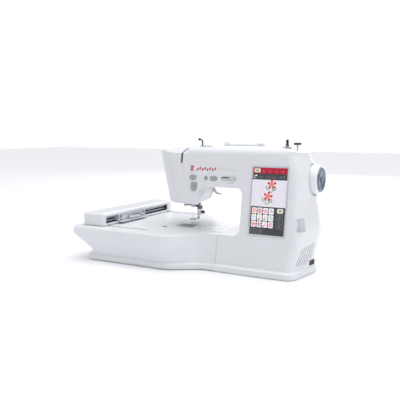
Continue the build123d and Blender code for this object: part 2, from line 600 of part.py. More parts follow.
with BuildPart() as handwheel_cap:
    rod_x(28, WHEEL_FACE - 6, WHEEL_FACE, NEEDLE_Y, SHAFT_Z)
    fillet(handwheel_cap.faces().sort_by(Axis.X)[-1].edges(), 2.5)
    with BuildSketch(Plane.XZ.offset(-NEEDLE_Y)) as dish:
        with BuildLine():
            Polyline((WHEEL_FACE + 0.2, SHAFT_Z + 23.5), (WHEEL_FACE - 1.8, SHAFT_Z + 10),
                     (WHEEL_FACE - 1.8, SHAFT_Z + 7.5), (WHEEL_FACE + 0.2, SHAFT_Z + 7.5), close=True)
        make_face()
    revolve(dish.sketch, axis=Axis((0, NEEDLE_Y, SHAFT_Z), (1, 0, 0)), mode=Mode.SUBTRACT)
save(handwheel_cap.part, "handwheel_cap")

with BuildPart() as lower_shaft:
    rod_x(LOWER_R, -46, 228, LOWER_Y, LOWER_Z)
    rod_x(9, -46, -34, LOWER_Y, LOWER_Z)
    rod_x(14, 212, 222, LOWER_Y, LOWER_Z)
save(lower_shaft.part, "lower_shaft")


def belt_loop(grow, big_r, y1, z1, small_r):
    """Outline of a belt over a pulley on the main shaft and another one."""
    with BuildSketch(Plane.YZ.offset(0)) as loop:
        with Locations((NEEDLE_Y, SHAFT_Z)):
            Circle(big_r + grow)
        with Locations((y1, z1)):
            Circle(small_r + grow)
        make_hull()
    return loop.sketch


with BuildPart() as drive_belts:
    for x0, big_r, y1, z1, small_r in ((212.5, 14, LOWER_Y, LOWER_Z, 14), (236.5, 24, MOTOR_Y, MOTOR_Z, 8)):
        place = Location((x0, 0, 0))
        extrude(place * belt_loop(2.3, big_r, y1, z1, small_r), amount=9)
        extrude(place * belt_loop(FIT, big_r, y1, z1, small_r), amount=9, mode=Mode.SUBTRACT)
save(drive_belts.part, "drive_belts")

with BuildPart() as main_motor:
    rod_x(28, 165, 226, MOTOR_Y, MOTOR_Z)
    fillet(main_motor.faces().sort_by(Axis.X)[-1].edges(), 6)
    rod_x(3 + RUNNING, 190, 230, MOTOR_Y, MOTOR_Z, Mode.SUBTRACT)
save(main_motor.part, "main_motor")

with BuildPart() as motor_pulley:
    rod_x(3, 195, 248, MOTOR_Y, MOTOR_Z)
    rod_x(8, 236, 246, MOTOR_Y, MOTOR_Z)
save(motor_pulley.part, "motor_pulley")

# ---------------------------------------------------------------- hook and bobbin
with BuildPart() as rotary_hook:
    rod_z(4, 42, 60, HOOK_X, HOOK_Y)
    rod_z(18, 44, 51, HOOK_X, HOOK_Y)
    rod_z(20, 60, 80, HOOK_X, HOOK_Y)
    rod_z(17.5, 62, 80, HOOK_X, HOOK_Y, Mode.SUBTRACT)
save(rotary_hook.part, "rotary_hook")

with BuildPart() as bobbin_case:
    rod_z(17, 62.6, 82.5, HOOK_X, HOOK_Y)
    rod_z(15.3, 64.2, 82.5, HOOK_X, HOOK_Y, Mode.SUBTRACT)
    rod_z(3, 64.2, 80, HOOK_X, HOOK_Y)
save(bobbin_case.part, "bobbin_case")

with BuildPart() as bobbin:
    rod_z(10.2, 66, 77.7, HOOK_X, HOOK_Y)
    rod_z(12, 67.2, 76.5, HOOK_X, HOOK_Y, Mode.SUBTRACT)
    rod_z(4.6, 66, 77.7, HOOK_X, HOOK_Y)
    rod_z(3 + RUNNING, 60, 80, HOOK_X, HOOK_Y, Mode.SUBTRACT)
save(bobbin.part, "bobbin")

# ---------------------------------------------------------------- needle, presser, threader
with BuildPart() as needle_bar:
    rod_z(BAR_R, 140, 282, NEEDLE_X, NEEDLE_Y)
save(needle_bar.part, "needle_bar")

with BuildPart() as needle_clamp:
    rod_z(5.5, 133, 147, NEEDLE_X, NEEDLE_Y)
    rod_x(2.6, NEEDLE_X + 5, NEEDLE_X + 12, NEEDLE_Y, 137)
    block(NEEDLE_X - 6, NEEDLE_X + 7, NEEDLE_Y - 8, NEEDLE_Y - 6.6, 133, 134.4)
    block(NEEDLE_X - 2, NEEDLE_X + 2, NEEDLE_Y - 8, NEEDLE_Y - 4.5, 133, 138)
    rod_z(BAR_R, 140, 150, NEEDLE_X, NEEDLE_Y, Mode.SUBTRACT)
    rod_z(1.0, 130, 140, NEEDLE_X, NEEDLE_Y, Mode.SUBTRACT)
save(needle_clamp.part, "needle_clamp")

with BuildPart() as needle:
    rod_z(1.0, 131, 140, NEEDLE_X, NEEDLE_Y)
    rod_z(0.7, 107, 131, NEEDLE_X, NEEDLE_Y)
    with Locations((NEEDLE_X, NEEDLE_Y, 105)):
        Cone(0.15, 0.7, 4)
save(needle.part, "needle")

with BuildPart() as take_up_lever:
    with BuildSketch(Plane.YZ.offset(-29)) as lever:
        with BuildLine():
            FilletPolyline((-36.5, 228), (-34.5, 236), (-64, 266), (-70, 266), (-70, 259),
                           radius=[3, 3, 2.5, 2.5, 2.5], close=True)
        make_face()
        with Locations((-40, 232)):
            Circle(5.5)
        with Locations((-66, 262)):
            Circle(1.4, mode=Mode.SUBTRACT)
        with Locations((-40, 232)):
            Circle(2.5 + RUNNING, mode=Mode.SUBTRACT)
    extrude(amount=2.5)
save(take_up_lever.part, "take_up_lever")

with BuildPart() as presser_bar:
    rod_z(PRESSER_R, 112, 262, PRESSER_X, PRESSER_Y)
save(presser_bar.part, "presser_bar")

FOOT_Z = 99.5
with BuildPart() as embroidery_foot:
    block(PRESSER_X - 5.5, PRESSER_X + 5.5, PRESSER_Y - 5.5, PRESSER_Y + 5.5, 110, 126)
    block(PRESSER_X - 4, PRESSER_X + 1, PRESSER_Y - 5.5, PRESSER_Y - 2, FOOT_Z, 110)
    with BuildSketch(Plane.XY.offset(FOOT_Z)) as sole:
        with Locations((NEEDLE_X, NEEDLE_Y)):
            Circle(9)
        with BuildLine():
            Polyline((NEEDLE_X + 1, NEEDLE_Y + 4), (PRESSER_X + 1, PRESSER_Y - 2), (PRESSER_X - 4, PRESSER_Y - 2),
                     (NEEDLE_X - 5, NEEDLE_Y + 4), close=True)
        make_face()
        with Locations((NEEDLE_X, NEEDLE_Y)):
            Circle(5.4, mode=Mode.SUBTRACT)
    extrude(amount=1.8)
    rod_z(PRESSER_R, 112, 130, PRESSER_X, PRESSER_Y, Mode.SUBTRACT)
save(embroidery_foot.part, "embroidery_foot")

with BuildPart() as foot_screw:
    rod_x(1.8, PRESSER_X + 5.5, PRESSER_X + 8, PRESSER_Y, 118)
    rod_x(4.2, PRESSER_X + 8, PRESSER_X + 13, PRESSER_Y, 118)
save(foot_screw.part, "foot_screw")

with BuildPart() as presser_lifter:
    with BuildSketch(Plane.XZ.offset(-20.5)) as lever:
        with BuildLine():
            FilletPolyline((-13, 184.6), (0, 181.5), (12, 167.6), (29, 165.5), (29, 169.2), (15.5, 172.2),
                           (6, 186.5), (-10, 195.3), radius=[2, 8, 10, 1.7, 1.7, 8, 8, 2], close=True)
        make_face()
        with Locations((-12, 190)):
            Circle(5.5)
        with Locations((-12, 190)):
            Circle(2.5 + RUNNING, mode=Mode.SUBTRACT)
    extrude(amount=5)
save(presser_lifter.part, "presser_lifter")

with BuildPart() as needle_threader:
    rod_z(THREADER_R, 142, 256, THREADER_X, NEEDLE_Y)
    block(THREADER_X - 5, THREADER_X + 6, NEEDLE_Y - 4, NEEDLE_Y + 4, 136, 142)
    block(THREADER_X - 5, THREADER_X - 2, NEEDLE_Y - 16, NEEDLE_Y - 4, 137, 141)
    rod_y(1.0, NEEDLE_Y - 20, NEEDLE_Y - 4, THREADER_X + 4.5, 138)
save(needle_threader.part, "needle_threader")


# ---------------------------------------------------------------- embroidery unit
def unit_section(height, inset, left, wall):
    """Plan outline of the unit at one height; its front and back run into the machine's."""
    front = FRONT_Y + height * LEAN + (-5 if height < 16 else 0) + wall
    back = BACK_Y - height * BACK_LEAN + (5 if height < 16 else 0) - wall
    half = UNIT_HALF - inset - wall
    left = left + wall * 1.25
    bend = -14 - 0.4 * inset - 0.4 * wall
    foot = 50 - 0.4 * wall
    points = [(left, -half), (bend, -half), (foot, front), (100, front),
              (100, back), (foot, back), (bend, half), (left, half)]
    return face_on(Plane.XY.offset(height), points, [18 - wall, 70, 55, 0, 0, 55, 70, 18 - wall])


def unit_form(wall):
    """Outer form of the embroidery unit, or of its hollow when wall is given."""
    with BuildPart() as form:
        loft([unit_section(*level, wall) for level in UNIT_LEVELS], ruled=True)
        block(SEAM_X - SEAM_GAP - wall, 120, -300, 300, -10, 200, Mode.SUBTRACT)
        if wall > 0:
            block(-400, 200, -300, 300, -10, 3 + wall, Mode.SUBTRACT)
            block(-400, 200, -300, 300, UNIT_TOP - wall, 200, Mode.SUBTRACT)
            block(POCKET[0] - wall, POCKET[1], POCKET[2] - wall, POCKET[3] + wall, -10, 200, Mode.SUBTRACT)
        else:
            block(POCKET[0], POCKET[1], POCKET[2], POCKET[3], -10, 200, Mode.SUBTRACT)
    return form.part


with BuildPart() as unit_shell:
    add(unit_form(0))
    add(unit_form(WALL), mode=Mode.SUBTRACT)
    for side in (-1, 1):
        block(TRACK[0], TRACK[1], side * TRACK_Y - 3.3, side * TRACK_Y + 3.3, 80, 90, Mode.SUBTRACT)
    block(-280, -255, -20, 20, 5.6, 11.4, Mode.SUBTRACT)
    block(80, 90, 60, 76, 28, 36, Mode.SUBTRACT)

with BuildPart() as unit_lower_shell:
    add(unit_shell.part)
    add(half_space(z1=PARTING_Z - 0.1), mode=Mode.INTERSECT)
save(unit_lower_shell.part, "unit_lower_shell")

with BuildPart() as unit_top_cover:
    add(unit_shell.part)
    add(half_space(z0=PARTING_Z), mode=Mode.INTERSECT)
save(unit_top_cover.part, "unit_top_cover")

with BuildPart() as unit_feet:
    for x in (-235, -35):
        for y in (-150, 150):
            rod_z(9, 0, 3, x, y)
save(unit_feet.part, "unit_feet")

RAIL_Z = 66.0
with BuildPart() as unit_rails:
    for side in (-1, 1):
        rod_x(4, -272, -80, side * TRACK_Y, RAIL_Z)
        block(-276, -272, side * TRACK_Y - 8, side * TRACK_Y + 8, 54, 74)
        block(-80, -76, side * TRACK_Y - 8, side * TRACK_Y + 8, 3 + WALL, 74)
save(unit_rails.part, "unit_rails")

with BuildPart() as unit_motor:
    block(-60, -20, 98, 140, 3 + WALL, 45)
    rod_z(2.5, 45, 58, -40, 119)
    rod_z(7, 47, 56, -40, 119)
save(unit_motor.part, "unit_motor")

with BuildPart() as unit_plug:
    block(74, 92, 60, 76, 28, 36)
save(unit_plug.part, "unit_plug")

with BuildPart() as unit_release:
    block(-273, -256, -19.6, 19.6, 6, 11)
save(unit_release.part, "unit_release")

# ---------------------------------------------------------------- embroidery arm and carriage
LEFT, RIGHT, NEAR, FAR, LOW, HIGH = CARRY
with BuildPart() as arm_cover:
    extrude(panel_on(Plane.XY.offset(LOW), LEFT, RIGHT, NEAR, FAR, 7), amount=HIGH - LOW)
    fillet(arm_cover.faces().sort_by(Axis.Z)[-1].edges(), 6)
    extrude(panel_on(Plane.XY.offset(LOW), LEFT + WALL, RIGHT - WALL, NEAR + WALL, FAR - WALL, 4.5),
            amount=HIGH - LOW - WALL, mode=Mode.SUBTRACT)
    block(RIGHT - 6, RIGHT + 4, SLOT_Y[0], SLOT_Y[1], SLOT_Z[0], SLOT_Z[1], Mode.SUBTRACT)
save(arm_cover.part, "arm_cover")

LEG_X = -250.0
with BuildPart() as arm_chassis:
    extrude(panel_on(Plane.XY.offset(LOW + 0.2), LEFT + 3, RIGHT - 3, NEAR + 3, FAR - 3, 8), amount=2.4)
    for side in (-1, 1):
        block(LEG_X - 6, LEG_X + 6, side * TRACK_Y - 2.5, side * TRACK_Y + 2.5, 70, LOW + 1)
        block(LEG_X - 8, LEG_X + 8, side * TRACK_Y - 7, side * TRACK_Y + 7, 58, 75)
        rod_x(4 + RUNNING, LEG_X - 10, LEG_X + 10, side * TRACK_Y, RAIL_Z, Mode.SUBTRACT)
        block(-235, -225.5, side * 156 - 2, side * 156 + 2, LOW + 2, 112)
    for z in (99, 106.5):
        rod_y(2.2, -156, 156, -228, z)
save(arm_chassis.part, "arm_chassis")

with BuildPart() as arm_motor:
    block(-277, -241, 122, 158, LOW + 2.6, 113)
save(arm_motor.part, "arm_motor")

with BuildPart() as hoop_carriage:
    block(-234, -222, CARRIAGE[0], CARRIAGE[1], 95.5, 110)
    block(-222, -214, CARRIAGE[0], CARRIAGE[1], 95.5, 110)
    block(-217.8, -214, CARRIAGE[0], CARRIAGE[1], 91.5, 112.5)
    block(-214, -204, CARRIAGE[0], CARRIAGE[1], 91.5, 95)
    for y in (CARRIAGE[0] + 12, CARRIAGE[1] - 12):
        rod_z(2.5, 95, 101, -208, y)
    for z in (99, 106.5):
        rod_y(2.2 + RUNNING, CARRIAGE[0] - 5, CARRIAGE[1] + 5, -228, z, Mode.SUBTRACT)
save(hoop_carriage.part, "hoop_carriage")

LATCH = (-210.0, -60.0)
with BuildPart() as hoop_latch:
    with BuildSketch(Plane.XY.offset(97)) as lever:
        with Locations(LATCH):
            Circle(3.6)
        with BuildLine():
            FilletPolyline((-213, -60), (-207, -60), (-205.5, -28), (-208, -14), (-212, -14), (-212.5, -30),
                           radius=[2, 2, 8, 1.5, 1.5, 8], close=True)
        make_face()
    extrude(amount=6)
save(hoop_latch.part, "hoop_latch")
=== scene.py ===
"""Looks of the free-arm embroidery machine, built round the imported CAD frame.

Lengths are in mm, turned to metres by MM; lights, camera and floor are placed in metres. The front
panel is a leaning plane: its own coordinates are (across, up, proud) in mm, and on_front() turns them
into the row frame.
"""
import json
import math

import bmesh
import bpy
from mathutils import Euler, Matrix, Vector


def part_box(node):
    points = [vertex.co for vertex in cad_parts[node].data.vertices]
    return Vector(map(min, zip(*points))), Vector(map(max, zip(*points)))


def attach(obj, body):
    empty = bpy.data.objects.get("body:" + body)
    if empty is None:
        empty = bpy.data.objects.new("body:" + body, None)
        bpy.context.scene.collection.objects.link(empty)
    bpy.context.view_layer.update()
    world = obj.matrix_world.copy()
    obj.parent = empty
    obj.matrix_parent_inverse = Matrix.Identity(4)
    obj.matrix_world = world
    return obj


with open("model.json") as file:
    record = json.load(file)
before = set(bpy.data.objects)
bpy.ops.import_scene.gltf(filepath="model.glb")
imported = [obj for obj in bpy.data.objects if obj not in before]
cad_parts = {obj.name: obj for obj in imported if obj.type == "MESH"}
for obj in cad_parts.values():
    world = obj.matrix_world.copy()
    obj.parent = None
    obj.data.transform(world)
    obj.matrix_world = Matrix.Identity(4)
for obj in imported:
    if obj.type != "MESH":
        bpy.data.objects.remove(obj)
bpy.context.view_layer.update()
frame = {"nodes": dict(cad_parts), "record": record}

MM = 0.001


# ------------------------------------------------------------------ materials
def srgb(red, green, blue):
    """A display colour, 0 to 255, as linear light."""
    parts = []
    for part in (red, green, blue):
        part /= 255
        parts.append(part / 12.92 if part <= 0.04045 else ((part + 0.055) / 1.055) ** 2.4)
    return (*parts, 1.0)


# Softness of a change of colour, and how far wear reaches from an edge
SPLIT_BLUR = 0.05
EDGE_WEAR = 0.4


class Finish:
    """A principled material that is built up from procedural layers."""

    def __init__(self, name, colour, roughness, metallic=0.0, **fixed):
        self.mat = bpy.data.materials.new(name)
        self.mat.use_nodes = True
        self.mat.diffuse_color = colour
        self.tree = self.mat.node_tree
        self.shader = self.tree.nodes["Principled BSDF"]
        self.colour = colour
        self.set("Base Color", colour)
        self.set("Roughness", roughness)
        self.set("Metallic", metallic)
        for key, value in fixed.items():
            self.set(key.replace("_", " ").title().replace("Ior", "IOR"), value)

    def set(self, socket, value):
        self.shader.inputs[socket].default_value = value

    def node(self, kind, **values):
        made = self.tree.nodes.new(kind)
        for key, value in values.items():
            made.inputs[key].default_value = value
        return made

    def wire(self, source, target):
        self.tree.links.new(source, target)

    def place(self, stretch=(1, 1, 1)):
        """Coordinates of the surface in the piece's own frame, in metres."""
        coord = self.node("ShaderNodeTexCoord")
        mapping = self.node("ShaderNodeMapping", Scale=stretch)
        self.wire(coord.outputs["Object"], mapping.inputs["Vector"])
        return mapping.outputs["Vector"]

    def noise(self, size, detail=2.0, stretch=(1, 1, 1)):
        """Mottling whose patches are about size mm across."""
        made = self.node("ShaderNodeTexNoise", Scale=1000 / size, Detail=detail)
        self.wire(self.place(stretch), made.inputs["Vector"])
        return made.outputs["Fac"]

    def span(self, source, low, high, start=0.3, end=0.7):
        """The source between start and end, stretched to run from low to high."""
        made = self.node("ShaderNodeMapRange")
        made.inputs["From Min"].default_value = start
        made.inputs["From Max"].default_value = end
        made.inputs["To Min"].default_value = low
        made.inputs["To Max"].default_value = high
        self.wire(source, made.inputs["Value"])
        return made.outputs["Result"]

    def mottle(self, source, amount):
        """The colour goes a little darker and lighter with the source."""
        ramp = self.node("ShaderNodeValToRGB")
        dark, light = ramp.color_ramp.elements
        dark.position, light.position = 0.3, 0.7
        dark.color = (*[c * (1 - amount) for c in self.colour[:3]], 1)
        light.color = (*[min(1, c * (1 + amount)) for c in self.colour[:3]], 1)
        self.wire(source, ramp.inputs["Fac"])
        self.wire(ramp.outputs["Color"], self.shader.inputs["Base Color"])

    def gloss(self, source, low, high):
        """The roughness goes from low to high with the source."""
        self.wire(self.span(source, low, high), self.shader.inputs["Roughness"])

    def bump(self, source, height):
        """The surface rises and falls by height mm with the source."""
        made = self.node("ShaderNodeBump", Distance=height * MM, Strength=1.0)
        self.wire(source, made.inputs["Height"])
        normal = self.shader.inputs["Normal"]
        if normal.is_linked:
            self.wire(normal.links[0].from_socket, made.inputs["Normal"])
        self.wire(made.outputs["Normal"], normal)

    def split(self, axis, level, below, above):
        """One colour below a level in mm along an axis, and another above it."""
        parts = self.node("ShaderNodeSeparateXYZ")
        self.wire(self.place(), parts.inputs["Vector"])
        edge = self.span(parts.outputs[axis], 0, 1, (level - SPLIT_BLUR) * MM, (level + SPLIT_BLUR) * MM)
        colours, mixed = self.colour_mix(edge)
        colours[0].default_value = below
        colours[1].default_value = above
        self.wire(mixed, self.shader.inputs["Base Color"])

    def colour_mix(self, share):
        """The two colour inputs and the output of a mix whose share comes from a socket."""
        mix = self.node("ShaderNodeMix")
        mix.data_type = "RGBA"
        self.wire(share, mix.inputs[0])
        colours = [socket for socket in mix.inputs if socket.type == "RGBA"]
        return colours, [socket for socket in mix.outputs if socket.type == "RGBA"][0]

    def worn_edges(self, worn):
        """A paler colour where the piece has a sharp edge that hands and tools rub."""
        bevel = self.node("ShaderNodeBevel", Radius=EDGE_WEAR * MM)
        bevel.samples = 4
        plain = self.node("ShaderNodeNewGeometry")
        dot = self.node("ShaderNodeVectorMath")
        dot.operation = "DOT_PRODUCT"
        self.wire(bevel.outputs["Normal"], dot.inputs[0])
        self.wire(plain.outputs["Normal"], dot.inputs[1])
        colours, mixed = self.colour_mix(self.span(dot.outputs["Value"], 0.7, 0.0, 0.75, 0.98))
        base = self.shader.inputs["Base Color"]
        self.wire(base.links[0].from_socket, colours[0])
        colours[1].default_value = worn
        self.wire(mixed, base)


def plastic(name, colour, roughness, grain=0.5, depth=0.012, **fixed):
    """Moulded plastic: fine tool texture, slight flow waviness, faint colour drift and handling marks."""
    made = Finish(name, colour, roughness, **fixed)
    made.mottle(made.noise(70, 3), 0.012)
    made.gloss(made.noise(9, 4), roughness - 0.06, roughness + 0.08)
    made.bump(made.noise(grain, 3), depth)
    made.bump(made.noise(14, 1), depth * 1.5)
    return made


def metal(name, colour, roughness, stretch=(1, 1, 1), depth=0.01):
    """Metal with brushing along the axis that stretch shortens, and small stains."""
    made = Finish(name, colour, roughness, metallic=1.0)
    made.mottle(made.noise(6, 4), 0.06)
    made.gloss(made.noise(0.8, 4, stretch), roughness - 0.06, roughness + 0.12)
    made.bump(made.noise(0.5, 2, stretch), depth)
    return made


def ink(name, colour, roughness=0.45):
    """Printed ink: a thin, slightly uneven film."""
    made = Finish(name, colour, roughness)
    made.mottle(made.noise(1.2, 2), 0.05)
    made.bump(made.noise(0.3, 1), 0.004)
    return made


PIXEL_ROWS = 0.9


def lit(name, colour):
    """A colour on the display: a little light of its own, under glass, with fine pixel rows."""
    made = Finish(name, colour, 0.3, coat_weight=0.6, coat_roughness=0.06, emission_color=colour,
                  emission_strength=0.22)
    rows = made.node("ShaderNodeTexWave", Scale=1 / (PIXEL_ROWS * MM))
    rows.bands_direction = "X"
    made.wire(made.place(), rows.inputs["Vector"])
    made.mottle(rows.outputs["Fac"], 0.03)
    made.bump(made.noise(30, 1), 0.01)
    return made


casing = plastic("casing_white", srgb(235, 236, 239), 0.34, coat_weight=0.2, coat_roughness=0.12)
bed_white = plastic("bed_white", srgb(243, 244, 246), 0.3, coat_weight=0.3, coat_roughness=0.1)
unit_white = plastic("unit_white", srgb(236, 237, 240), 0.34, coat_weight=0.2, coat_roughness=0.12)
cream = plastic("cream_plastic", srgb(232, 230, 216), 0.36)
bezel_grey = plastic("bezel_silver", srgb(212, 214, 220), 0.34, 0.6, 0.001, metallic=0.2)
glass_dark = lit("display_glass", srgb(64, 64, 68))
key_grey = plastic("key_grey", srgb(172, 176, 176), 0.5, 0.35, 0.02)
channel_grey = plastic("slider_channel_grey", srgb(206, 208, 208), 0.5, 0.35, 0.02)
knob_grey = plastic("knob_cream", srgb(214, 214, 208), 0.42, 0.35, 0.02)
black = plastic("black_plastic", srgb(26, 26, 28), 0.45, 0.4, 0.02)
dark_grey = plastic("dark_grey_plastic", srgb(72, 74, 78), 0.48, 0.4, 0.02)
mid_grey = plastic("mid_grey_plastic", srgb(150, 154, 160), 0.42, 0.4, 0.015)
rubber = plastic("rubber", srgb(34, 34, 35), 0.8, 0.8, 0.05)
belt_rubber = plastic("belt_rubber", srgb(28, 28, 28), 0.75, 0.6, 0.06)
polished = metal("polished_steel", srgb(205, 208, 212), 0.16, (1, 1, 0.15), 0.004)
polished.worn_edges(srgb(240, 240, 240))
brushed = metal("brushed_steel", srgb(206, 208, 212), 0.3, (0.06, 1, 1), 0.008)
dark_steel = metal("dark_steel", srgb(74, 78, 84), 0.3, (1, 1, 0.2), 0.01)
bronze = metal("bronze_steel", srgb(128, 120, 108), 0.3, (1, 1, 0.2), 0.01)
cast = metal("cast_aluminium", srgb(168, 171, 176), 0.5, depth=0.06)
plated = metal("plated_sheet", srgb(214, 218, 224), 0.34, (1, 0.08, 1), 0.012)
plated.worn_edges(srgb(226, 228, 232))
enamel = plastic("motor_enamel", srgb(30, 31, 34), 0.35, 0.6, 0.02)
board_green = plastic("board_green", srgb(22, 92, 58), 0.4, 0.5, 0.02)
lamp_glass = plastic("lamp_lens", srgb(240, 244, 250), 0.2, 0.8, 0.05, transmission_weight=0.6,
                     emission_color=srgb(255, 252, 240), emission_strength=0.6)
clear = plastic("clear_plastic", srgb(232, 236, 240), 0.12, 2.0, 0.02, transmission_weight=0.75)
carriage_silver = plastic("carriage_silver", srgb(222, 226, 230), 0.3, 0.5, 0.004, metallic=0.35)
satin_plate = plastic("satin_plate", srgb(236, 238, 241), 0.36, 0.4, 0.004, metallic=0.3)
well_grey = plastic("well_plastic", srgb(224, 226, 231), 0.4)
wheel_white = plastic("wheel_white", srgb(244, 245, 247), 0.26, 0.5, 0.006, coat_weight=0.4,
                      coat_roughness=0.08)
stop_finish = plastic("winder_stop_finish", srgb(30, 30, 32), 0.4)
# Near-black, used only to paint the shade inside slots and seams
painted_shade_black = plastic("painted_shade_black", srgb(16, 16, 18), 0.6, 0.4, 0.02)
vent_grey = plastic("vent_baffle", srgb(150, 152, 158), 0.6, 0.4, 0.02)


LATHE_RINGS = 4.5
STOP_CAP = 4.7


def turned_cap():
    """Blue-grey metallic cap with the fine rings that a lathe leaves, and sweeps by angle painted into its
    colour as highlights.
    """
    made = Finish("wheel_cap_metal", srgb(118, 128, 146), 0.3, 0.85, anisotropic=0.4)
    low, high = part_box("handwheel_cap")
    centre = (low + high) / 2
    coord = made.node("ShaderNodeTexCoord")
    shift = made.node("ShaderNodeMapping")
    shift.inputs["Location"].default_value = (-centre.x, -centre.y, -centre.z)
    made.wire(coord.outputs["Object"], shift.inputs["Vector"])
    turn = made.node("ShaderNodeMapping")
    turn.inputs["Rotation"].default_value = (0, math.pi / 2, 0)
    made.wire(shift.outputs["Vector"], turn.inputs["Vector"])
    sweep = made.node("ShaderNodeTexGradient")
    sweep.gradient_type = "RADIAL"
    made.wire(turn.outputs["Vector"], sweep.inputs["Vector"])
    painted_sweeps_and_gloss = made.node("ShaderNodeTexNoise", Scale=7.0, Detail=5.0)
    painted_sweeps_and_gloss.noise_dimensions = "1D"
    made.wire(sweep.outputs["Fac"], painted_sweeps_and_gloss.inputs["W"])
    rings = made.node("ShaderNodeTexWave", Scale=1 / (LATHE_RINGS * MM))
    rings.wave_type = "RINGS"
    rings.rings_direction = "SPHERICAL"
    made.wire(shift.outputs["Vector"], rings.inputs["Vector"])
    # The sweeps by angle lighten and darken the colour as painted highlights and also vary the roughness; the
    # rings are turning marks in the bump
    made.mottle(painted_sweeps_and_gloss.outputs["Fac"], 0.4)
    made.gloss(painted_sweeps_and_gloss.outputs["Fac"], 0.18, 0.4)
    made.bump(rings.outputs["Fac"], 0.02)
    return made


cap_metal = turned_cap()
stop_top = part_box("winder_stop")[1].z / MM
stop_finish.split("Z", stop_top - STOP_CAP, srgb(225, 226, 228), srgb(28, 28, 30))

SLOT_FINISH = {
    "casing": casing, "bezel": bezel_grey, "screen": glass_dark, "buttons": key_grey, "rubber": rubber,
    "belt": belt_rubber, "bright_steel": polished, "plate_steel": brushed, "cast_frame": cast,
    "motor_black": enamel, "board": board_green, "lamp": lamp_glass, "clear": clear,
    "black_plastic": black, "grey_plastic": mid_grey, "wheel_cap": cap_metal, "arm_metal": plated,
}
NODE_FINISH = {
    "unit_lower_shell": unit_white, "unit_top_cover": unit_white, "free_arm_cover": bed_white,
    "handwheel": wheel_white, "handwheel_well": well_grey, "presser_lifter": cream,
    "speed_slider": knob_grey, "winder_stop": stop_finish, "winder_seat": brushed,
    "winder_spindle": dark_steel, "top_thread_guide": dark_steel, "needle_plate": satin_plate,
    "unit_plug": dark_grey, "feed_dog": dark_steel, "foot_screw": black, "hoop_carriage": carriage_silver,
    "hoop_latch": carriage_silver,
}
slot_of = {part["node"]: part["material_slot"] for part in frame["record"]["subparts"]}
for node_name, node_object in frame["nodes"].items():
    finish = NODE_FINISH.get(node_name) or SLOT_FINISH[slot_of[node_name]]
    node_object.data.materials.clear()
    node_object.data.materials.append(finish.mat)


# ------------------------------------------------------------------ shapes
def rounded(x0, x1, y0, y1, radius=0.0, steps=5):
    """Outline of a rectangle with rounded corners."""
    radius = min(radius, (x1 - x0) / 2 - 1e-4, (y1 - y0) / 2 - 1e-4)
    if radius <= 0:
        return [(x0, y0), (x1, y0), (x1, y1), (x0, y1)]
    corners = ((x1 - radius, y0 + radius, -90), (x1 - radius, y1 - radius, 0),
               (x0 + radius, y1 - radius, 90), (x0 + radius, y0 + radius, 180))
    points = []
    for cx, cy, start in corners:
        for step in range(steps + 1):
            angle = math.radians(start + 90 * step / steps)
            points.append((cx + radius * math.cos(angle), cy + radius * math.sin(angle)))
    return points


def round_spot(x, y, radius, squeeze=1.0, steps=20):
    """Outline of a circle, or of an ellipse when it is squeezed."""
    turn = [2 * math.pi * step / steps for step in range(steps)]
    return [(x + radius * math.cos(a), y + radius * squeeze * math.sin(a)) for a in turn]


def petal(x, y, angle, length, width, start=0.0):
    """Outline of one petal that leaves (x, y) at an angle, pointed at its foot and full near its tip."""
    c, s = math.cos(angle), math.sin(angle)
    points = []
    for step in range(16):
        t = 2 * math.pi * step / 16
        along = start + length * (0.5 - 0.5 * math.cos(t))
        side = width / 2 * math.sin(t) * (0.55 - 0.45 * math.cos(t))
        points.append((x + along * c - side * s, y + along * s + side * c))
    return points


def band(points, width):
    """Outline of a line of a given width with square ends."""
    left, right = [], []
    for index, (x, y) in enumerate(points):
        ahead = points[min(index + 1, len(points) - 1)]
        behind = points[max(index - 1, 0)]
        dx, dy = ahead[0] - behind[0], ahead[1] - behind[1]
        size = math.hypot(dx, dy) or 1
        nx, ny = -dy / size * width / 2, dx / size * width / 2
        left.append((x + nx, y + ny))
        right.append((x - nx, y - ny))
    return left + right[::-1]


def arc(x, y, radius, start, end, steps=14):
    """Points of an arc, angles in degrees."""
    turn = [math.radians(start + (end - start) * step / steps) for step in range(steps + 1)]
    return [(x + radius * math.cos(a), y + radius * math.sin(a)) for a in turn]


def add_prism(bm, outline, place, low, high):
    """A closed prism on an outline, between two heights of a placing function."""
    area = sum(a[0] * b[1] - b[0] * a[1] for a, b in zip(outline, outline[1:] + outline[:1]))
    if area < 0:
        outline = outline[::-1]
    bottom = [bm.verts.new(place(u, v, low)) for u, v in outline]
    top = [bm.verts.new(place(u, v, high)) for u, v in outline]
    bm.faces.new(bottom[::-1])
    bm.faces.new(top)
    count = len(outline)
    for index in range(count):
        after = (index + 1) % count
        bm.faces.new((bottom[index], bottom[after], top[after], top[index]))


def add_tube(bm, path, radius, steps=10):
    """A closed round tube along a path of points in mm in the row frame."""
    rings = []
    side = None
    for index, point in enumerate(path):
        ahead = Vector(path[min(index + 1, len(path) - 1)])
        behind = Vector(path[max(index - 1, 0)])
        along = (ahead - behind).normalized()
        if side is None:
            side = along.orthogonal().normalized()
        side = (side - along * side.dot(along)).normalized()
        other = along.cross(side)
        ring = []
        for step in range(steps):
            angle = 2 * math.pi * step / steps
            ring.append(bm.verts.new((Vector(point) + (side * math.cos(angle) + other * math.sin(angle))
                                      * radius) * MM))
        rings.append(ring)
    for a, b in zip(rings, rings[1:]):
        for step in range(steps):
            after = (step + 1) % steps
            bm.faces.new((a[step], a[after], b[after], b[step]))
    bm.faces.new(rings[0][::-1])
    bm.faces.new(rings[-1])


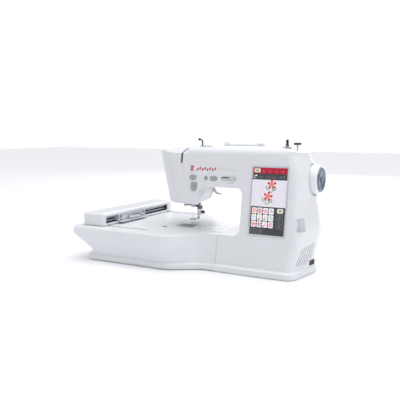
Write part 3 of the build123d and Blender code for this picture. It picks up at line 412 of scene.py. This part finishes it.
def finish_piece(name, bm, material, body, bevel=0.0, smooth=False):
    """Turn a bmesh into a piece that rides on a body."""
    bmesh.ops.recalc_face_normals(bm, faces=bm.faces)
    mesh = bpy.data.meshes.new(name)
    bm.to_mesh(mesh)
    bm.free()
    mesh.materials.append(material.mat)
    piece = bpy.data.objects.new(name, mesh)
    bpy.context.scene.collection.objects.link(piece)
    if smooth:
        mesh.shade_smooth()
    if bevel > 0:
        rounding = piece.modifiers.new("rounding", "BEVEL")
        rounding.width = bevel * MM
        rounding.segments = 2
        rounding.limit_method = "ANGLE"
        rounding.angle_limit = math.radians(40)
    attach(piece, body)


def prisms(name, outlines, place, low, high, material, body, bevel=0.0):
    """One piece of one or more prisms that share their heights."""
    bm = bmesh.new()
    for outline in outlines:
        add_prism(bm, outline, place, low, high)
    finish_piece(name, bm, material, body, bevel)


# ------------------------------------------------------------------ planes of the machine
LEAN = math.radians(8.2)
RISE, REACH = math.cos(LEAN), math.sin(LEAN)


def span_on_front(node, depth, proud):
    """(left, right, bottom, top) of a node that stands in the front panel, in the panel's own mm."""
    low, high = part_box(node)
    return (low.x / MM, high.x / MM, (low.z / MM + depth * REACH) / RISE,
            (high.z / MM - proud * REACH) / RISE)


screen = span_on_front("display_screen", 4.5, 0.5)
front_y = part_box("display_screen")[0].y / MM - screen[2] * REACH + 0.5 * RISE


def on_front(across, up, proud):
    """A point of the front panel, in metres in the row frame."""
    return Vector((across, front_y + up * REACH - proud * RISE, up * RISE + proud * REACH)) * MM


def flat_at(level):
    """A placing function for things that lie flat, with heights in mm above a level in mm."""
    return lambda x, y, height: Vector((x, y, level + height)) * MM


# ------------------------------------------------------------------ display
SCREEN_FACE = 0.5
screen_width = screen[1] - screen[0]
screen_height = screen[3] - screen[2]
shown = {}


def on_screen(across, down):
    """A point of the display, as shares of its width and height from the top left-hand corner."""
    return (screen[0] + across * screen_width, screen[3] - down * screen_height)


def draw(colour, layer, outline):
    """Keep an outline, already in panel mm, for the piece of that colour and layer."""
    shown.setdefault((colour, layer), []).append(outline)


def tile(colour, layer, left, right, top, bottom, radius):
    """Draw a rounded tile between shares of the display, and give its centre in panel mm."""
    x0, y1 = on_screen(left, top)
    x1, y0 = on_screen(right, bottom)
    draw(colour, layer, rounded(x0, x1, y0, y1, radius))
    return (x0 + x1) / 2, (y0 + y1) / 2


def flower(x, y, size, count, turn, petals="crimson", heart="orange", layer=3):
    """A round flower with a heart."""
    for index in range(count):
        angle = turn + 2 * math.pi * index / count
        draw(petals, layer, petal(x, y, angle, size, size * 0.8, size * 0.06))
        draw("rose", layer + 1, petal(x, y, angle, size * 0.5, size * 0.2, size * 0.3))
    draw(heart, layer + 2, round_spot(x, y, size * 0.25))


def curl(x, y, radius, start, end, width, layer=3):
    """A tendril: an arc that ends in a leaf."""
    points = arc(x, y, radius, start, end)
    draw("green", layer, band(points, width))
    (x0, y0), (x1, y1) = points[-2:]
    draw("green", layer, petal(x1, y1, math.atan2(y1 - y0, x1 - x0), radius * 0.9, radius * 0.55))


def draw_bars():
    """Top tabs and the status line under them."""
    tile("bar_red", 1, 0.0, 1.0, 0.0, 0.088, 0.8)
    tile("bar_grey", 1, 0.0, 1.0, 0.09, 0.178, 0.3)
    x, y = tile("cream", 2, 0.035, 0.21, 0.014, 0.074, 1.6)
    draw("green_grey", 3, rounded(x - 3.4, x + 3.4, y - 2.0, y + 2.0, 0.8))
    draw("cream", 4, round_spot(x, y, 1.1))
    for share in (0.31, 0.50, 0.68, 0.87):
        x, y = on_screen(share, 0.046)
        draw("pale_red", 2, rounded(x - 2.6, x + 2.6, y - 2.6, y - 1.8, 0.3))
        draw("pale_red", 2, band(arc(x, y + 0.4, 2.0, 20, 320), 0.7))
    for share in (0.4, 0.59, 0.775):
        x, y = on_screen(share, 0.044)
        draw("pale_red", 2, rounded(x - 0.15, x + 0.15, y - 4.2, y + 4.2, 0.1))
    x, y = on_screen(0.075, 0.134)
    draw("white", 2, band(arc(x - 0.6, y - 1.0, 2.7, 40, 330), 1.1))
    draw("white", 2, rounded(x + 0.2, x + 3.6, y + 0.4, y + 4.0, 0.6))
    for share in (0.19, 0.27, 0.40, 0.49, 0.58, 0.66):
        x, y = on_screen(share, 0.134)
        draw("dim", 2, band([(x - 1.8, y - 1.4), (x, y + 2.2), (x + 1.8, y - 1.4)], 0.6))
        draw("dim", 2, rounded(x - 2.4, x + 2.4, y - 3.2, y - 2.6, 0.2))
    for share in (0.805, 0.9):
        x, y = on_screen(share, 0.134)
        for rise in (-1.8, 0.6):
            draw("dim", 2, rounded(x - 3.0, x + 3.0, y + rise, y + rise + 0.9, 0.3))


def draw_preview():
    """The embroidery pattern in its hoop lines."""
    tile("lilac", 1, 0.0, 1.0, 0.18, 0.582, 0.3)
    for share in (0.285, 0.655):
        tile("lilac_line", 2, share, share + 0.006, 0.18, 0.582, 0.0)
    upper = on_screen(0.565, 0.245)
    lower = on_screen(0.478, 0.425)
    for x, y, turn in ((*upper, 0.35), (*lower, 0.1)):
        curl(x - 8.5, y - 7.0, 4.6, 130, 390, 1.9, 2)
        curl(x + 6.0, y - 9.0, 4.2, 60, -210, 2.1, 2)
        curl(x - 1.5, y - 13.5, 4.4, 200, 340, 1.8, 2)
        flower(x, y, 10.8, 5, turn)


def draw_choices():
    """Twelve pattern tiles, a column of keys and two keys at the foot."""
    pictures = (("rings", "orange"), ("rings", "crimson"), ("flower", "pink"), ("spray", "purple"),
                ("spray", "sky"), ("note", "purple"), ("note", "brown"), ("spray", "green"),
                ("flower", "crimson"), ("flower", "purple"), ("note", "crimson"), ("rings", "pink"))
    for index, (kind, colour) in enumerate(pictures):
        row, column = divmod(index, 4)
        left = 0.035 + column * 0.166
        top = 0.601 + row * 0.1005
        x, y = tile("white", 1, left, left + 0.142, top, top + 0.09, 1.6)
        if kind == "rings":
            draw(colour, 2, band(arc(x, y, 3.6, 0, 340), 1.6))
            draw("rose", 2, band(arc(x, y, 1.6, 40, 380), 1.2))
            for turn in range(6):
                angle = math.pi * turn / 3
                draw(colour, 2, round_spot(x + 4.6 * math.cos(angle), y + 5.4 * math.sin(angle), 0.9))
        elif kind == "flower":
            flower(x, y, 5.4, 5, 0.2 * index, colour, "orange", 2)
        elif kind == "spray":
            draw("green", 2, band([(x - 2.2, y - 5.4), (x - 0.4, y - 1.0), (x + 1.8, y + 5.0)], 0.8))
            for side, rise in ((-1, -2.6), (1, -1.2), (-1, 0.8), (1, 2.2)):
                draw(colour, 2, petal(x + 0.3 * rise, y + rise, side * 1.2 + 1.2, 4.4, 2.6))
        else:
            draw(colour, 2, band([(x - 0.8, y - 3.6), (x - 0.8, y + 4.4), (x + 3.4, y + 3.0)], 1.1))
            draw(colour, 2, round_spot(x - 2.4, y - 3.8, 2.1, 0.8))
            draw("orange", 2, round_spot(x + 2.4, y - 1.2, 1.5))
    x, y = tile("cream", 1, 0.765, 0.945, 0.598, 0.668, 4.0)
    draw("green_grey", 2, rounded(x - 2.6, x + 2.6, y - 2.0, y + 1.4, 0.6))
    draw("green_grey", 2, band([(x - 2.8, y + 1.0), (x, y + 3.4), (x + 2.8, y + 1.0)], 0.8))
    keys = [(0.765, 0.945, 0.680 + step * 0.0765, 0.744 + step * 0.0765) for step in range(3)]
    keys += [(0.04, 0.205, 0.917, 0.978), (0.23, 0.395, 0.917, 0.978)]
    for index, (left, right, top, bottom) in enumerate(keys):
        x, y = tile("dim", 1, left, right, top, bottom, 1.8)
        tile("bar_grey", 2, left + 0.008, right - 0.008, top + 0.0045, bottom - 0.0045, 1.3)
        if index % 2:
            draw("dim", 3, band(arc(x, y, 2.2, 30, 330), 0.7))
        else:
            draw("dim", 3, band([(x - 2.4, y), (x, y + 2.2), (x + 2.4, y)], 0.8))
            draw("dim", 3, rounded(x - 1.4, x + 1.4, y - 2.4, y - 0.4, 0.3))


SCREEN_COLOURS = {
    "bar_red": (176, 18, 50), "pale_red": (226, 110, 132), "bar_grey": (66, 67, 71), "dim": (134, 136, 140),
    "white": (248, 248, 249), "cream": (226, 222, 203), "green_grey": (104, 122, 98),
    "lilac": (229, 224, 233), "lilac_line": (203, 198, 209), "crimson": (208, 34, 62),
    "rose": (238, 120, 110), "orange": (240, 134, 44), "green": (48, 164, 98), "pink": (236, 120, 158),
    "purple": (128, 62, 130), "brown": (142, 96, 60), "sky": (150, 186, 226),
}
draw_bars()
draw_preview()
draw_choices()
screen_finish = {colour: lit("display_" + colour, srgb(*value)) for colour, value in SCREEN_COLOURS.items()}
for (colour, layer), outlines in shown.items():
    prisms(f"display_{colour}_{layer}", outlines, on_front, SCREEN_FACE - 0.2, SCREEN_FACE + 0.03 * layer,
           screen_finish[colour], "machine")


# ------------------------------------------------------------------ print and keys on the front
INSET = 0.6
PRINT_THICK, PRINT_ROOT = 0.05, 0.15
KEY_FACE = 1.0
red_ink = ink("red_print", srgb(196, 24, 46))
grey_ink = ink("grey_print", srgb(178, 181, 187))
key_ink = ink("key_print", srgb(128, 131, 131))
dark_ink = ink("dark_print", srgb(120, 123, 128))


def printed(name, outlines, material, body="machine", face=-INSET):
    """Flat print on the control panel, or on a key that stands proud of it."""
    prisms(name, outlines, on_front, face - PRINT_ROOT, face + PRINT_THICK, material, body)


def sewing_motif():
    """A plain cotton reel, a row of satin stitches and a zigzag: sewing in general, and no maker's sign."""
    x, y = 3.6, 244.0
    reel = [rounded(x - 5.2, x + 5.2, y + 3.6, y + 6.2, 1.0),
            rounded(x - 5.2, x + 5.2, y - 6.2, y - 3.6, 1.0)]
    for step in range(3):
        low = y - 3.1 + step * 2.1
        reel.append([(x - 4.0, low), (x + 4.0, low + 0.4), (x + 4.0, low + 2.0), (x - 4.0, low + 1.6)])
    printed("motif_reel", reel, red_ink)
    stitches = []
    for index in range(8):
        left = 16.5 + index * 6.9
        lift = 1.3 if index % 2 else -1.3
        stitches.append([(left, 239.8 + lift), (left + 3.9, 239.8 + lift), (left + 5.6, 246.2 + lift),
                         (left + 1.7, 246.2 + lift)])
    printed("motif_satin_stitch", stitches, red_ink)
    printed("motif_divider", [rounded(77.4, 78.0, 238, 248, 0.2)], grey_ink)
    zigzag = [(83 + 2.3 * step, 243 + (2.4 if step % 2 else -2.4)) for step in range(17)]
    printed("motif_zigzag", [band(zigzag, 0.8)], grey_ink)


def key_centre(node):
    """Centre of a key, in panel mm."""
    left, right, bottom, top = span_on_front(node, 5.0, 1.0)
    return (left + right) / 2, (bottom + top) / 2


def key_icons():
    """Small plain signs on the four keys, which move with them."""
    x, y = key_centre("reverse_button")
    hook = band(arc(x + 1.0, y, 2.0, -90, 90) + [(x - 3.0, y + 2.0)], 0.7)
    head = [(x - 3.0, y + 3.4), (x - 5.4, y + 2.0), (x - 3.0, y + 0.6)]
    foot = band([(x + 1.0, y - 2.0), (x - 3.6, y - 2.0)], 0.7)
    printed("icon_reverse", [hook, head, foot], key_ink, "reverse_key", KEY_FACE)
    x, y = key_centre("needle_button")
    needle = [[(x - 0.8, y + 6.0), (x + 0.8, y + 6.0), (x + 0.8, y - 1.0), (x, y - 5.5), (x - 0.8, y - 1.0)]]
    arrows = [[(x + 3.0, y + 4.4), (x + 6.4, y + 4.4), (x + 4.7, y + 7.0)],
              [(x + 3.0, y + 1.6), (x + 6.4, y + 1.6), (x + 4.7, y - 1.0)]]
    printed("icon_needle", needle + arrows, key_ink, "needle_key", KEY_FACE)
    x, y = key_centre("cutter_button")
    blades = [band([(x - side * 2.2, y + 2.4), (x + side * 1.2, y - 1.2)], 0.6) for side in (1, -1)]
    grips = [band(arc(x + side * 1.7, y - 2.0, 1.0, 0, 350), 0.5) for side in (-1, 1)]
    printed("icon_cutter", blades + grips, key_ink, "cutter_key", KEY_FACE)
    x, y = key_centre("start_button")
    start = [[(x - 4.6, y - 2.2), (x - 4.6, y + 2.2), (x - 0.8, y)]]
    start.append(band(arc(x + 4.0, y, 2.0, 0, 350), 0.7))
    printed("icon_start", start, key_ink, "start_key", KEY_FACE)


def speed_scale():
    """Channel behind the speed slider, its dark track and the marks from slow to fast."""
    left, right, bottom, top = span_on_front("speed_slider", 2.2, 2.0)
    middle = (bottom + top) / 2
    start = right - 41
    prisms("slider_channel", [rounded(start - 3, right + 3, middle - 7, middle + 7, 3)], on_front, -4.0, -2.7,
           channel_grey, "machine")
    prisms("slider_track", [rounded(start + 2, right - 3, middle + 1.4, middle + 3.2, 0.8)], on_front, -2.9,
           -2.55, black, "machine")
    marks = [round_spot(start + 5, middle - 10.6, 0.7)]
    marks += [rounded(right - 19 + step * 3.4, right - 17.6 + step * 3.4, middle - 11.4,
                      middle - 10.6 + 0.35 * step, 0.3) for step in range(4)]
    printed("speed_marks", marks, dark_ink)
    ribs = [rounded(left + 5 + step * 2.2, left + 6 + step * 2.2, middle - 2.8, middle + 2.8, 0.4)
            for step in range(4)]
    prisms("slider_ribs", ribs, on_front, 1.8, 2.5, knob_grey, "speed_knob", 0.15)


sewing_motif()
key_icons()
speed_scale()


# ------------------------------------------------------------------ inside the openings: painted shade, and the vent baffle
# Thickness in mm of the black sheets that paint the shade on the walls of the thread slot
SLOT_SHADE_THICK = 3.0
# Widths in mm of the black bands that paint the shade deep behind the face cover's seam and just inside it
SEAM_DEEP_SHADE, SEAM_SHADE_STRIP = 5.0, 0.75
# Seam between face cover and front cover, as (X, Z)
FACE_SEAM = [(-14.6, 272), (-14.55, 270), (-6.55, 214), (5.45, 166), (6.6, 156)]
# Inner face of the end wall at the vents: one point of it, and how it turns and leans
VENT_X, VENT_Y, VENT_Z = 267, -106, 24
VENT_TURN, VENT_LEAN = 0.158, 0.185


def along_x(y, z):
    """A placing function for outlines that face right: (behind, up) in mm about a point, and mm along X."""
    return lambda u, v, x: Vector((x, y + u, z + v)) * MM


def behind_vents(y, z, x):
    """A point inside the end wall, x mm along X from its inner face, which turns and leans."""
    return Vector((x + VENT_X + (y - VENT_Y) * VENT_TURN + (z - VENT_Z) * VENT_LEAN, y, z)) * MM


def paint_opening_shade():
    """Painted shade: black sheets on the walls of the thread slot, in and behind the face cover's seam and
    inside the arm's slot, where the openings would only be in shade; and a grey baffle behind the vents.
    """
    slot_low, slot_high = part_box("take_up_lever")
    left, right = slot_low.x / MM, slot_high.x / MM
    beside = [(-85, 250), (-85, 273), (-66, 280.5), (-46, 286), (-41, 287), (-41, 262), (-64, 258),
              (-72, 250)]
    # Black sheets on both walls of the thread slot: painted shade, where the slot's own walls would be in shade
    for name, low in (("thread_slot_left", left - 6.2), ("thread_slot_right", right + 2.8)):
        prisms(name, [beside], along_x(0, 0), low, low + SLOT_SHADE_THICK, painted_shade_black, "machine")
    seam = [(x, z / RISE) for x, z in FACE_SEAM]
    # Painted shade: a black band deep behind the seam, and a black strip just under its surface, where the
    # narrow gap is only in shade
    prisms("face_seam_deep_shade", [band(seam[1:-1], SEAM_DEEP_SHADE)], on_front, -3.6, -2.8, painted_shade_black,
           "machine")
    prisms("face_seam_painted_shade", [band(seam, SEAM_SHADE_STRIP)], on_front, -2.4, -0.66, painted_shade_black,
           "machine")
    low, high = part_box("arm_cover")
    near, far, base = low.y / MM + 9, high.y / MM - 26, low.z / MM + 3.4
    # A black sheet deep in the arm's slot: painted shade of its inside
    prisms("arm_slot_painted_shade", [rounded(near, far, base, base + 24, 1)], along_x(0, 0), high.x / MM - 20,
           high.x / MM - 18, painted_shade_black, "arm")
    prisms("vent_baffle", [rounded(-106, -30, 22, 82)], behind_vents, 0, 1, vent_grey, "machine")


KNURLS = 32
KNURL_TOP, KNURL_ROOT = 3.7, 3.35


def bar_axis(node):
    """Where the axis of an upright bar stands, in mm."""
    low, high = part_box(node)
    return (low.x + high.x) / 2 / MM, (low.y + high.y) / 2 / MM


def dress_presser():
    """Collar and ankle of the presser foot, screw of the needle clamp and its wire guide."""
    x, y = bar_axis("presser_bar")
    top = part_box("embroidery_foot")[1].z / MM
    collar = rounded(x - 6, x + 5.6, y - 5.6, y + 5.6, 1.4)
    prisms("presser_collar", [collar], flat_at(top), 0.2, 9, bronze, "presser", 0.5)
    prisms("presser_ankle", [rounded(x - 4.6, x + 4.2, y - 4.6, y + 4.6, 1.2)], flat_at(top), 9, 16, polished,
           "presser", 0.4)
    # The ankle's slot is a thin black piece on its side: painted shade of the recess
    prisms("presser_ankle_slot", [rounded(-0.5, 0.5, 1.5, 7.5, 0.2)], along_x(y, top), x + 5.6, x + 5.9,
           black, "presser")
    clamp_low, clamp_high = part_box("needle_clamp")
    x, y = bar_axis("needle_bar")
    right, level = clamp_high.x / MM, clamp_low.z / MM + 4
    knurl = []
    for step in range(KNURLS):
        reach = KNURL_TOP if step % 2 else KNURL_ROOT
        angle = 2 * math.pi * step / KNURLS
        knurl.append((reach * math.cos(angle), reach * math.sin(angle)))
    prisms("clamp_screw_head", [knurl], along_x(y, level), right - 1.5, right + 3, dark_steel, "needle_bar",
           0.2)
    bm = bmesh.new()
    add_tube(bm, [(x - 3, y - 5.2, level + 8), (x - 8, y - 7, level + 7.4), (x - 10.5, y - 7.4, level + 4.5),
                  (x - 7, y - 7.4, level + 2), (x - 3.4, y - 5, level + 3)], 0.55, 8)
    finish_piece("clamp_wire_guide", bm, polished, "needle_bar", smooth=True)


def dress_threader():
    """Grip of the needle threader."""
    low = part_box("needle_threader")[0]
    left, near = low.x / MM, low.y / MM
    prisms("threader_grip", [rounded(left - 0.6, left + 3.4, near + 2, near + 11, 1.6)],
           flat_at(low.z / MM), 0.6, 5.4, cream, "threader", 0.6)


# The carriage's lower lip stands out from its face by LEDGE
LEDGE = 10
COILS, COIL_STEPS = 14, 12
COIL_RADIUS, COIL_RISE = 1.9, 0.2


def dress_carriage():
    """Frame line, bright bar, screws and return spring of the hoop carriage."""
    low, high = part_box("hoop_carriage")
    near, far, base = low.y / MM, high.y / MM, low.z / MM
    face = high.x / MM - LEDGE
    middle = (near + far) / 2
    rails = [rounded(near + 4 - middle, far - 4 - middle, height, height + 0.9, 0.2)
             for height in (5.4, 18.6)]
    ends = [rounded(side * (far - near - 9) / 2 - 0.45, side * (far - near - 9) / 2 + 0.45, 5.4, 19.5, 0.2)
            for side in (-1, 1)]
    prisms("carriage_frame_line", rails + ends, along_x(middle, base), face - 0.2, face + 0.25, black,
           "carriage")
    prisms("carriage_bright_bar", [rounded(-26, 50, 14.2, 16.6, 1)], along_x(middle, base), face - 0.2,
           face + 1.4, polished, "carriage", 0.3)
    for name, side in (("near", -1), ("far", 1)):
        centre = side * (far - near - 15) / 2
        prisms("carriage_screw_" + name, [round_spot(centre, 14.5, 2.4)], along_x(middle, base), face - 0.2,
               face + 1.2, dark_steel, "carriage", 0.3)
        # The screw slot is a flat black piece: painted shade of the recess
        prisms("carriage_screw_slot_" + name, [rounded(centre - 1.7, centre + 1.7, 14.2, 14.8, 0.1)],
               along_x(middle, base), face + 1.1, face + 1.3, black, "carriage")
    turns = []
    for step in range(COIL_STEPS * COILS + 1):
        angle = 2 * math.pi * step / COIL_STEPS
        turns.append((face + 3 + COIL_RADIUS * math.cos(angle), middle + 2 + step * COIL_RISE,
                      base + 10.2 + COIL_RADIUS * math.sin(angle)))
    bm = bmesh.new()
    add_tube(bm, turns, 0.4, 6)
    finish_piece("carriage_spring", bm, dark_steel, "carriage", smooth=True)


def mark_needle_plate():
    """Dark stitch guide lines and a line round the rim, laid into the needle plate."""
    low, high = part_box("needle_plate")
    x0, x1, y0, y1, level = low.x / MM, high.x / MM, low.y / MM, high.y / MM, high.z / MM
    lines = [rounded(x1 - 12 - 5 * step, x1 - 11.6 - 5 * step, y0 + 5, y1 - 5, 0.05) for step in range(4)]
    lines += [rounded(x0 + 6 + 5 * step, x0 + 6.4 + 5 * step, y0 + 5, y1 - 5, 0.05) for step in range(2)]
    prisms("plate_guide_lines", lines, flat_at(level), -0.1, 0.04, dark_ink, "machine")
    rim = [rounded(x0 + 0.6, x1 - 0.6, y, y + 0.5, 0.1) for y in (y0 + 0.6, y1 - 1.1)]
    rim += [rounded(x, x + 0.5, y0 + 1.2, y1 - 1.2, 0.1) for x in (x0 + 0.6, x1 - 1.1)]
    prisms("plate_rim_lines", rim, flat_at(level), -0.1, 0.05, dark_ink, "machine")


SCREW_GRID = 40
CROSS_LONG, CROSS_WIDE = 2.4, 0.4


def screw_heads():
    """(x, y, z) in mm of the screw heads' back faces, one for each coarse grid cell that a head reaches into."""
    heads = {}
    for vertex in frame["nodes"]["casing_screws"].data.vertices:
        x, y, z = vertex.co / MM
        heads.setdefault((round(x / SCREW_GRID), round(z / SCREW_GRID)), []).append((x, y, z))
    found = []
    for points in heads.values():
        count = len(points)
        back = max(point[1] for point in points)
        found.append((sum(p[0] for p in points) / count, back, sum(p[2] for p in points) / count))
    return sorted(found)


def slot_screws():
    """Cross slots in the heads of the casing screws, as flat black crosses that paint the shade of the recess.
    """
    for index, (x, y, z) in enumerate(screw_heads()):
        arms = [rounded(x - across, x + across, z - up, z + up, 0.1)
                for across, up in ((CROSS_LONG, CROSS_WIDE), (CROSS_WIDE, CROSS_LONG))]
        prisms(f"screw_cross_{index}", arms, lambda u, v, back: Vector((u, back, v)) * MM, y - 0.3,
               y + 0.06, black, "machine")


paint_opening_shade()
dress_presser()
dress_threader()
dress_carriage()
mark_needle_plate()
slot_screws()


# ------------------------------------------------------------------ stage and camera
FLOOR_SIZE, FLOOR_ROWS = 14.0, 8
SKY_TINT = (0.96, 0.975, 1.0, 1)
SKY_UP, SKY_POWER = (0.1, 0.05, 1.0), 3.0
SKY_TOP, SKY_EVEN = 2.0, 0.27


def add_floor():
    """A pale floor with a faint light of its own, close in tone to the white background."""
    bm = bmesh.new()
    size, rows = FLOOR_SIZE, FLOOR_ROWS
    grid = [[bm.verts.new(((x / rows - 0.5) * size, (y / rows - 0.5) * size, 0))
             for x in range(rows + 1)] for y in range(rows + 1)]
    for y in range(rows):
        for x in range(rows):
            bm.faces.new((grid[y][x], grid[y][x + 1], grid[y + 1][x + 1], grid[y + 1][x]))
    mesh = bpy.data.meshes.new("studio_floor")
    bm.to_mesh(mesh)
    bm.free()
    floor = bpy.data.objects.new("studio_floor", mesh)
    bpy.context.scene.collection.objects.link(floor)
    finish = Finish("floor_white", srgb(244, 244, 246), 0.4, specular_ior_level=0.25, emission_strength=0.06)
    finish.bump(finish.noise(60, 1), 0.02)
    mesh.materials.append(finish.mat)


def add_light(name, place, target, size, power):
    """A soft square light that looks at a target."""
    data = bpy.data.lights.new(name, "AREA")
    data.shape = "SQUARE"
    data.size = size
    data.energy = power
    lamp = bpy.data.objects.new(name, data)
    lamp.location = place
    lamp.rotation_euler = (Vector(target) - Vector(place)).to_track_quat("-Z", "Y").to_euler()
    bpy.context.scene.collection.objects.link(lamp)


def add_studio():
    """White surroundings, brighter above, with soft lights overhead, on the right and behind."""
    world = bpy.data.worlds.new("studio")
    world.use_nodes = True
    tree = world.node_tree
    backdrop = tree.nodes["Background"]
    backdrop.inputs["Color"].default_value = SKY_TINT
    towards = tree.nodes.new("ShaderNodeTexCoord")
    slope = tree.nodes.new("ShaderNodeVectorMath")
    slope.operation = "DOT_PRODUCT"
    slope.inputs[1].default_value = SKY_UP
    power = tree.nodes.new("ShaderNodeMath")
    power.operation = "POWER"
    power.inputs[1].default_value = SKY_POWER
    level = tree.nodes.new("ShaderNodeMath")
    level.operation = "MULTIPLY_ADD"
    level.inputs[1].default_value = SKY_TOP
    level.inputs[2].default_value = SKY_EVEN
    tree.links.new(towards.outputs["Generated"], slope.inputs[0])
    tree.links.new(slope.outputs["Value"], power.inputs[0])
    tree.links.new(power.outputs["Value"], level.inputs[0])
    tree.links.new(level.outputs["Value"], backdrop.inputs["Strength"])
    seen = tree.nodes.new("ShaderNodeBackground")
    seen.inputs["Color"].default_value = (1, 1, 1, 1)
    seen.inputs["Strength"].default_value = 1.0
    path = tree.nodes.new("ShaderNodeLightPath")
    mix = tree.nodes.new("ShaderNodeMixShader")
    tree.links.new(path.outputs["Is Camera Ray"], mix.inputs["Fac"])
    tree.links.new(backdrop.outputs["Background"], mix.inputs[1])
    tree.links.new(seen.outputs["Background"], mix.inputs[2])
    tree.links.new(mix.outputs["Shader"], tree.nodes["World Output"].inputs["Surface"])
    bpy.context.scene.world = world
    add_light("overhead", (0.2, 0.2, 2.2), (0, 0, 0), 2.4, 9)
    add_light("right_fill", (2.2, -0.5, 0.8), (0.1, 0, 0.15), 1.4, 3)
    add_light("behind", (-0.3, 2.4, 1.2), (0, 0, 0.1), 2.0, 19)
    bpy.context.scene.view_settings.view_transform = "Standard"


def add_camera():
    """The camera of the main view, in front on the right and a little above the head."""
    data = bpy.data.cameras.new("camera")
    data.lens = 50.7
    data.sensor_width = 36
    data.clip_end = 40
    camera = bpy.data.objects.new("camera", data)
    camera.location = (0.697, -1.287, 0.335)
    camera.rotation_euler = Euler((math.radians(90 - 7.12), 0, math.radians(29.32)))
    bpy.context.scene.collection.objects.link(camera)
    bpy.context.scene.camera = camera


add_floor()
add_studio()
add_camera()
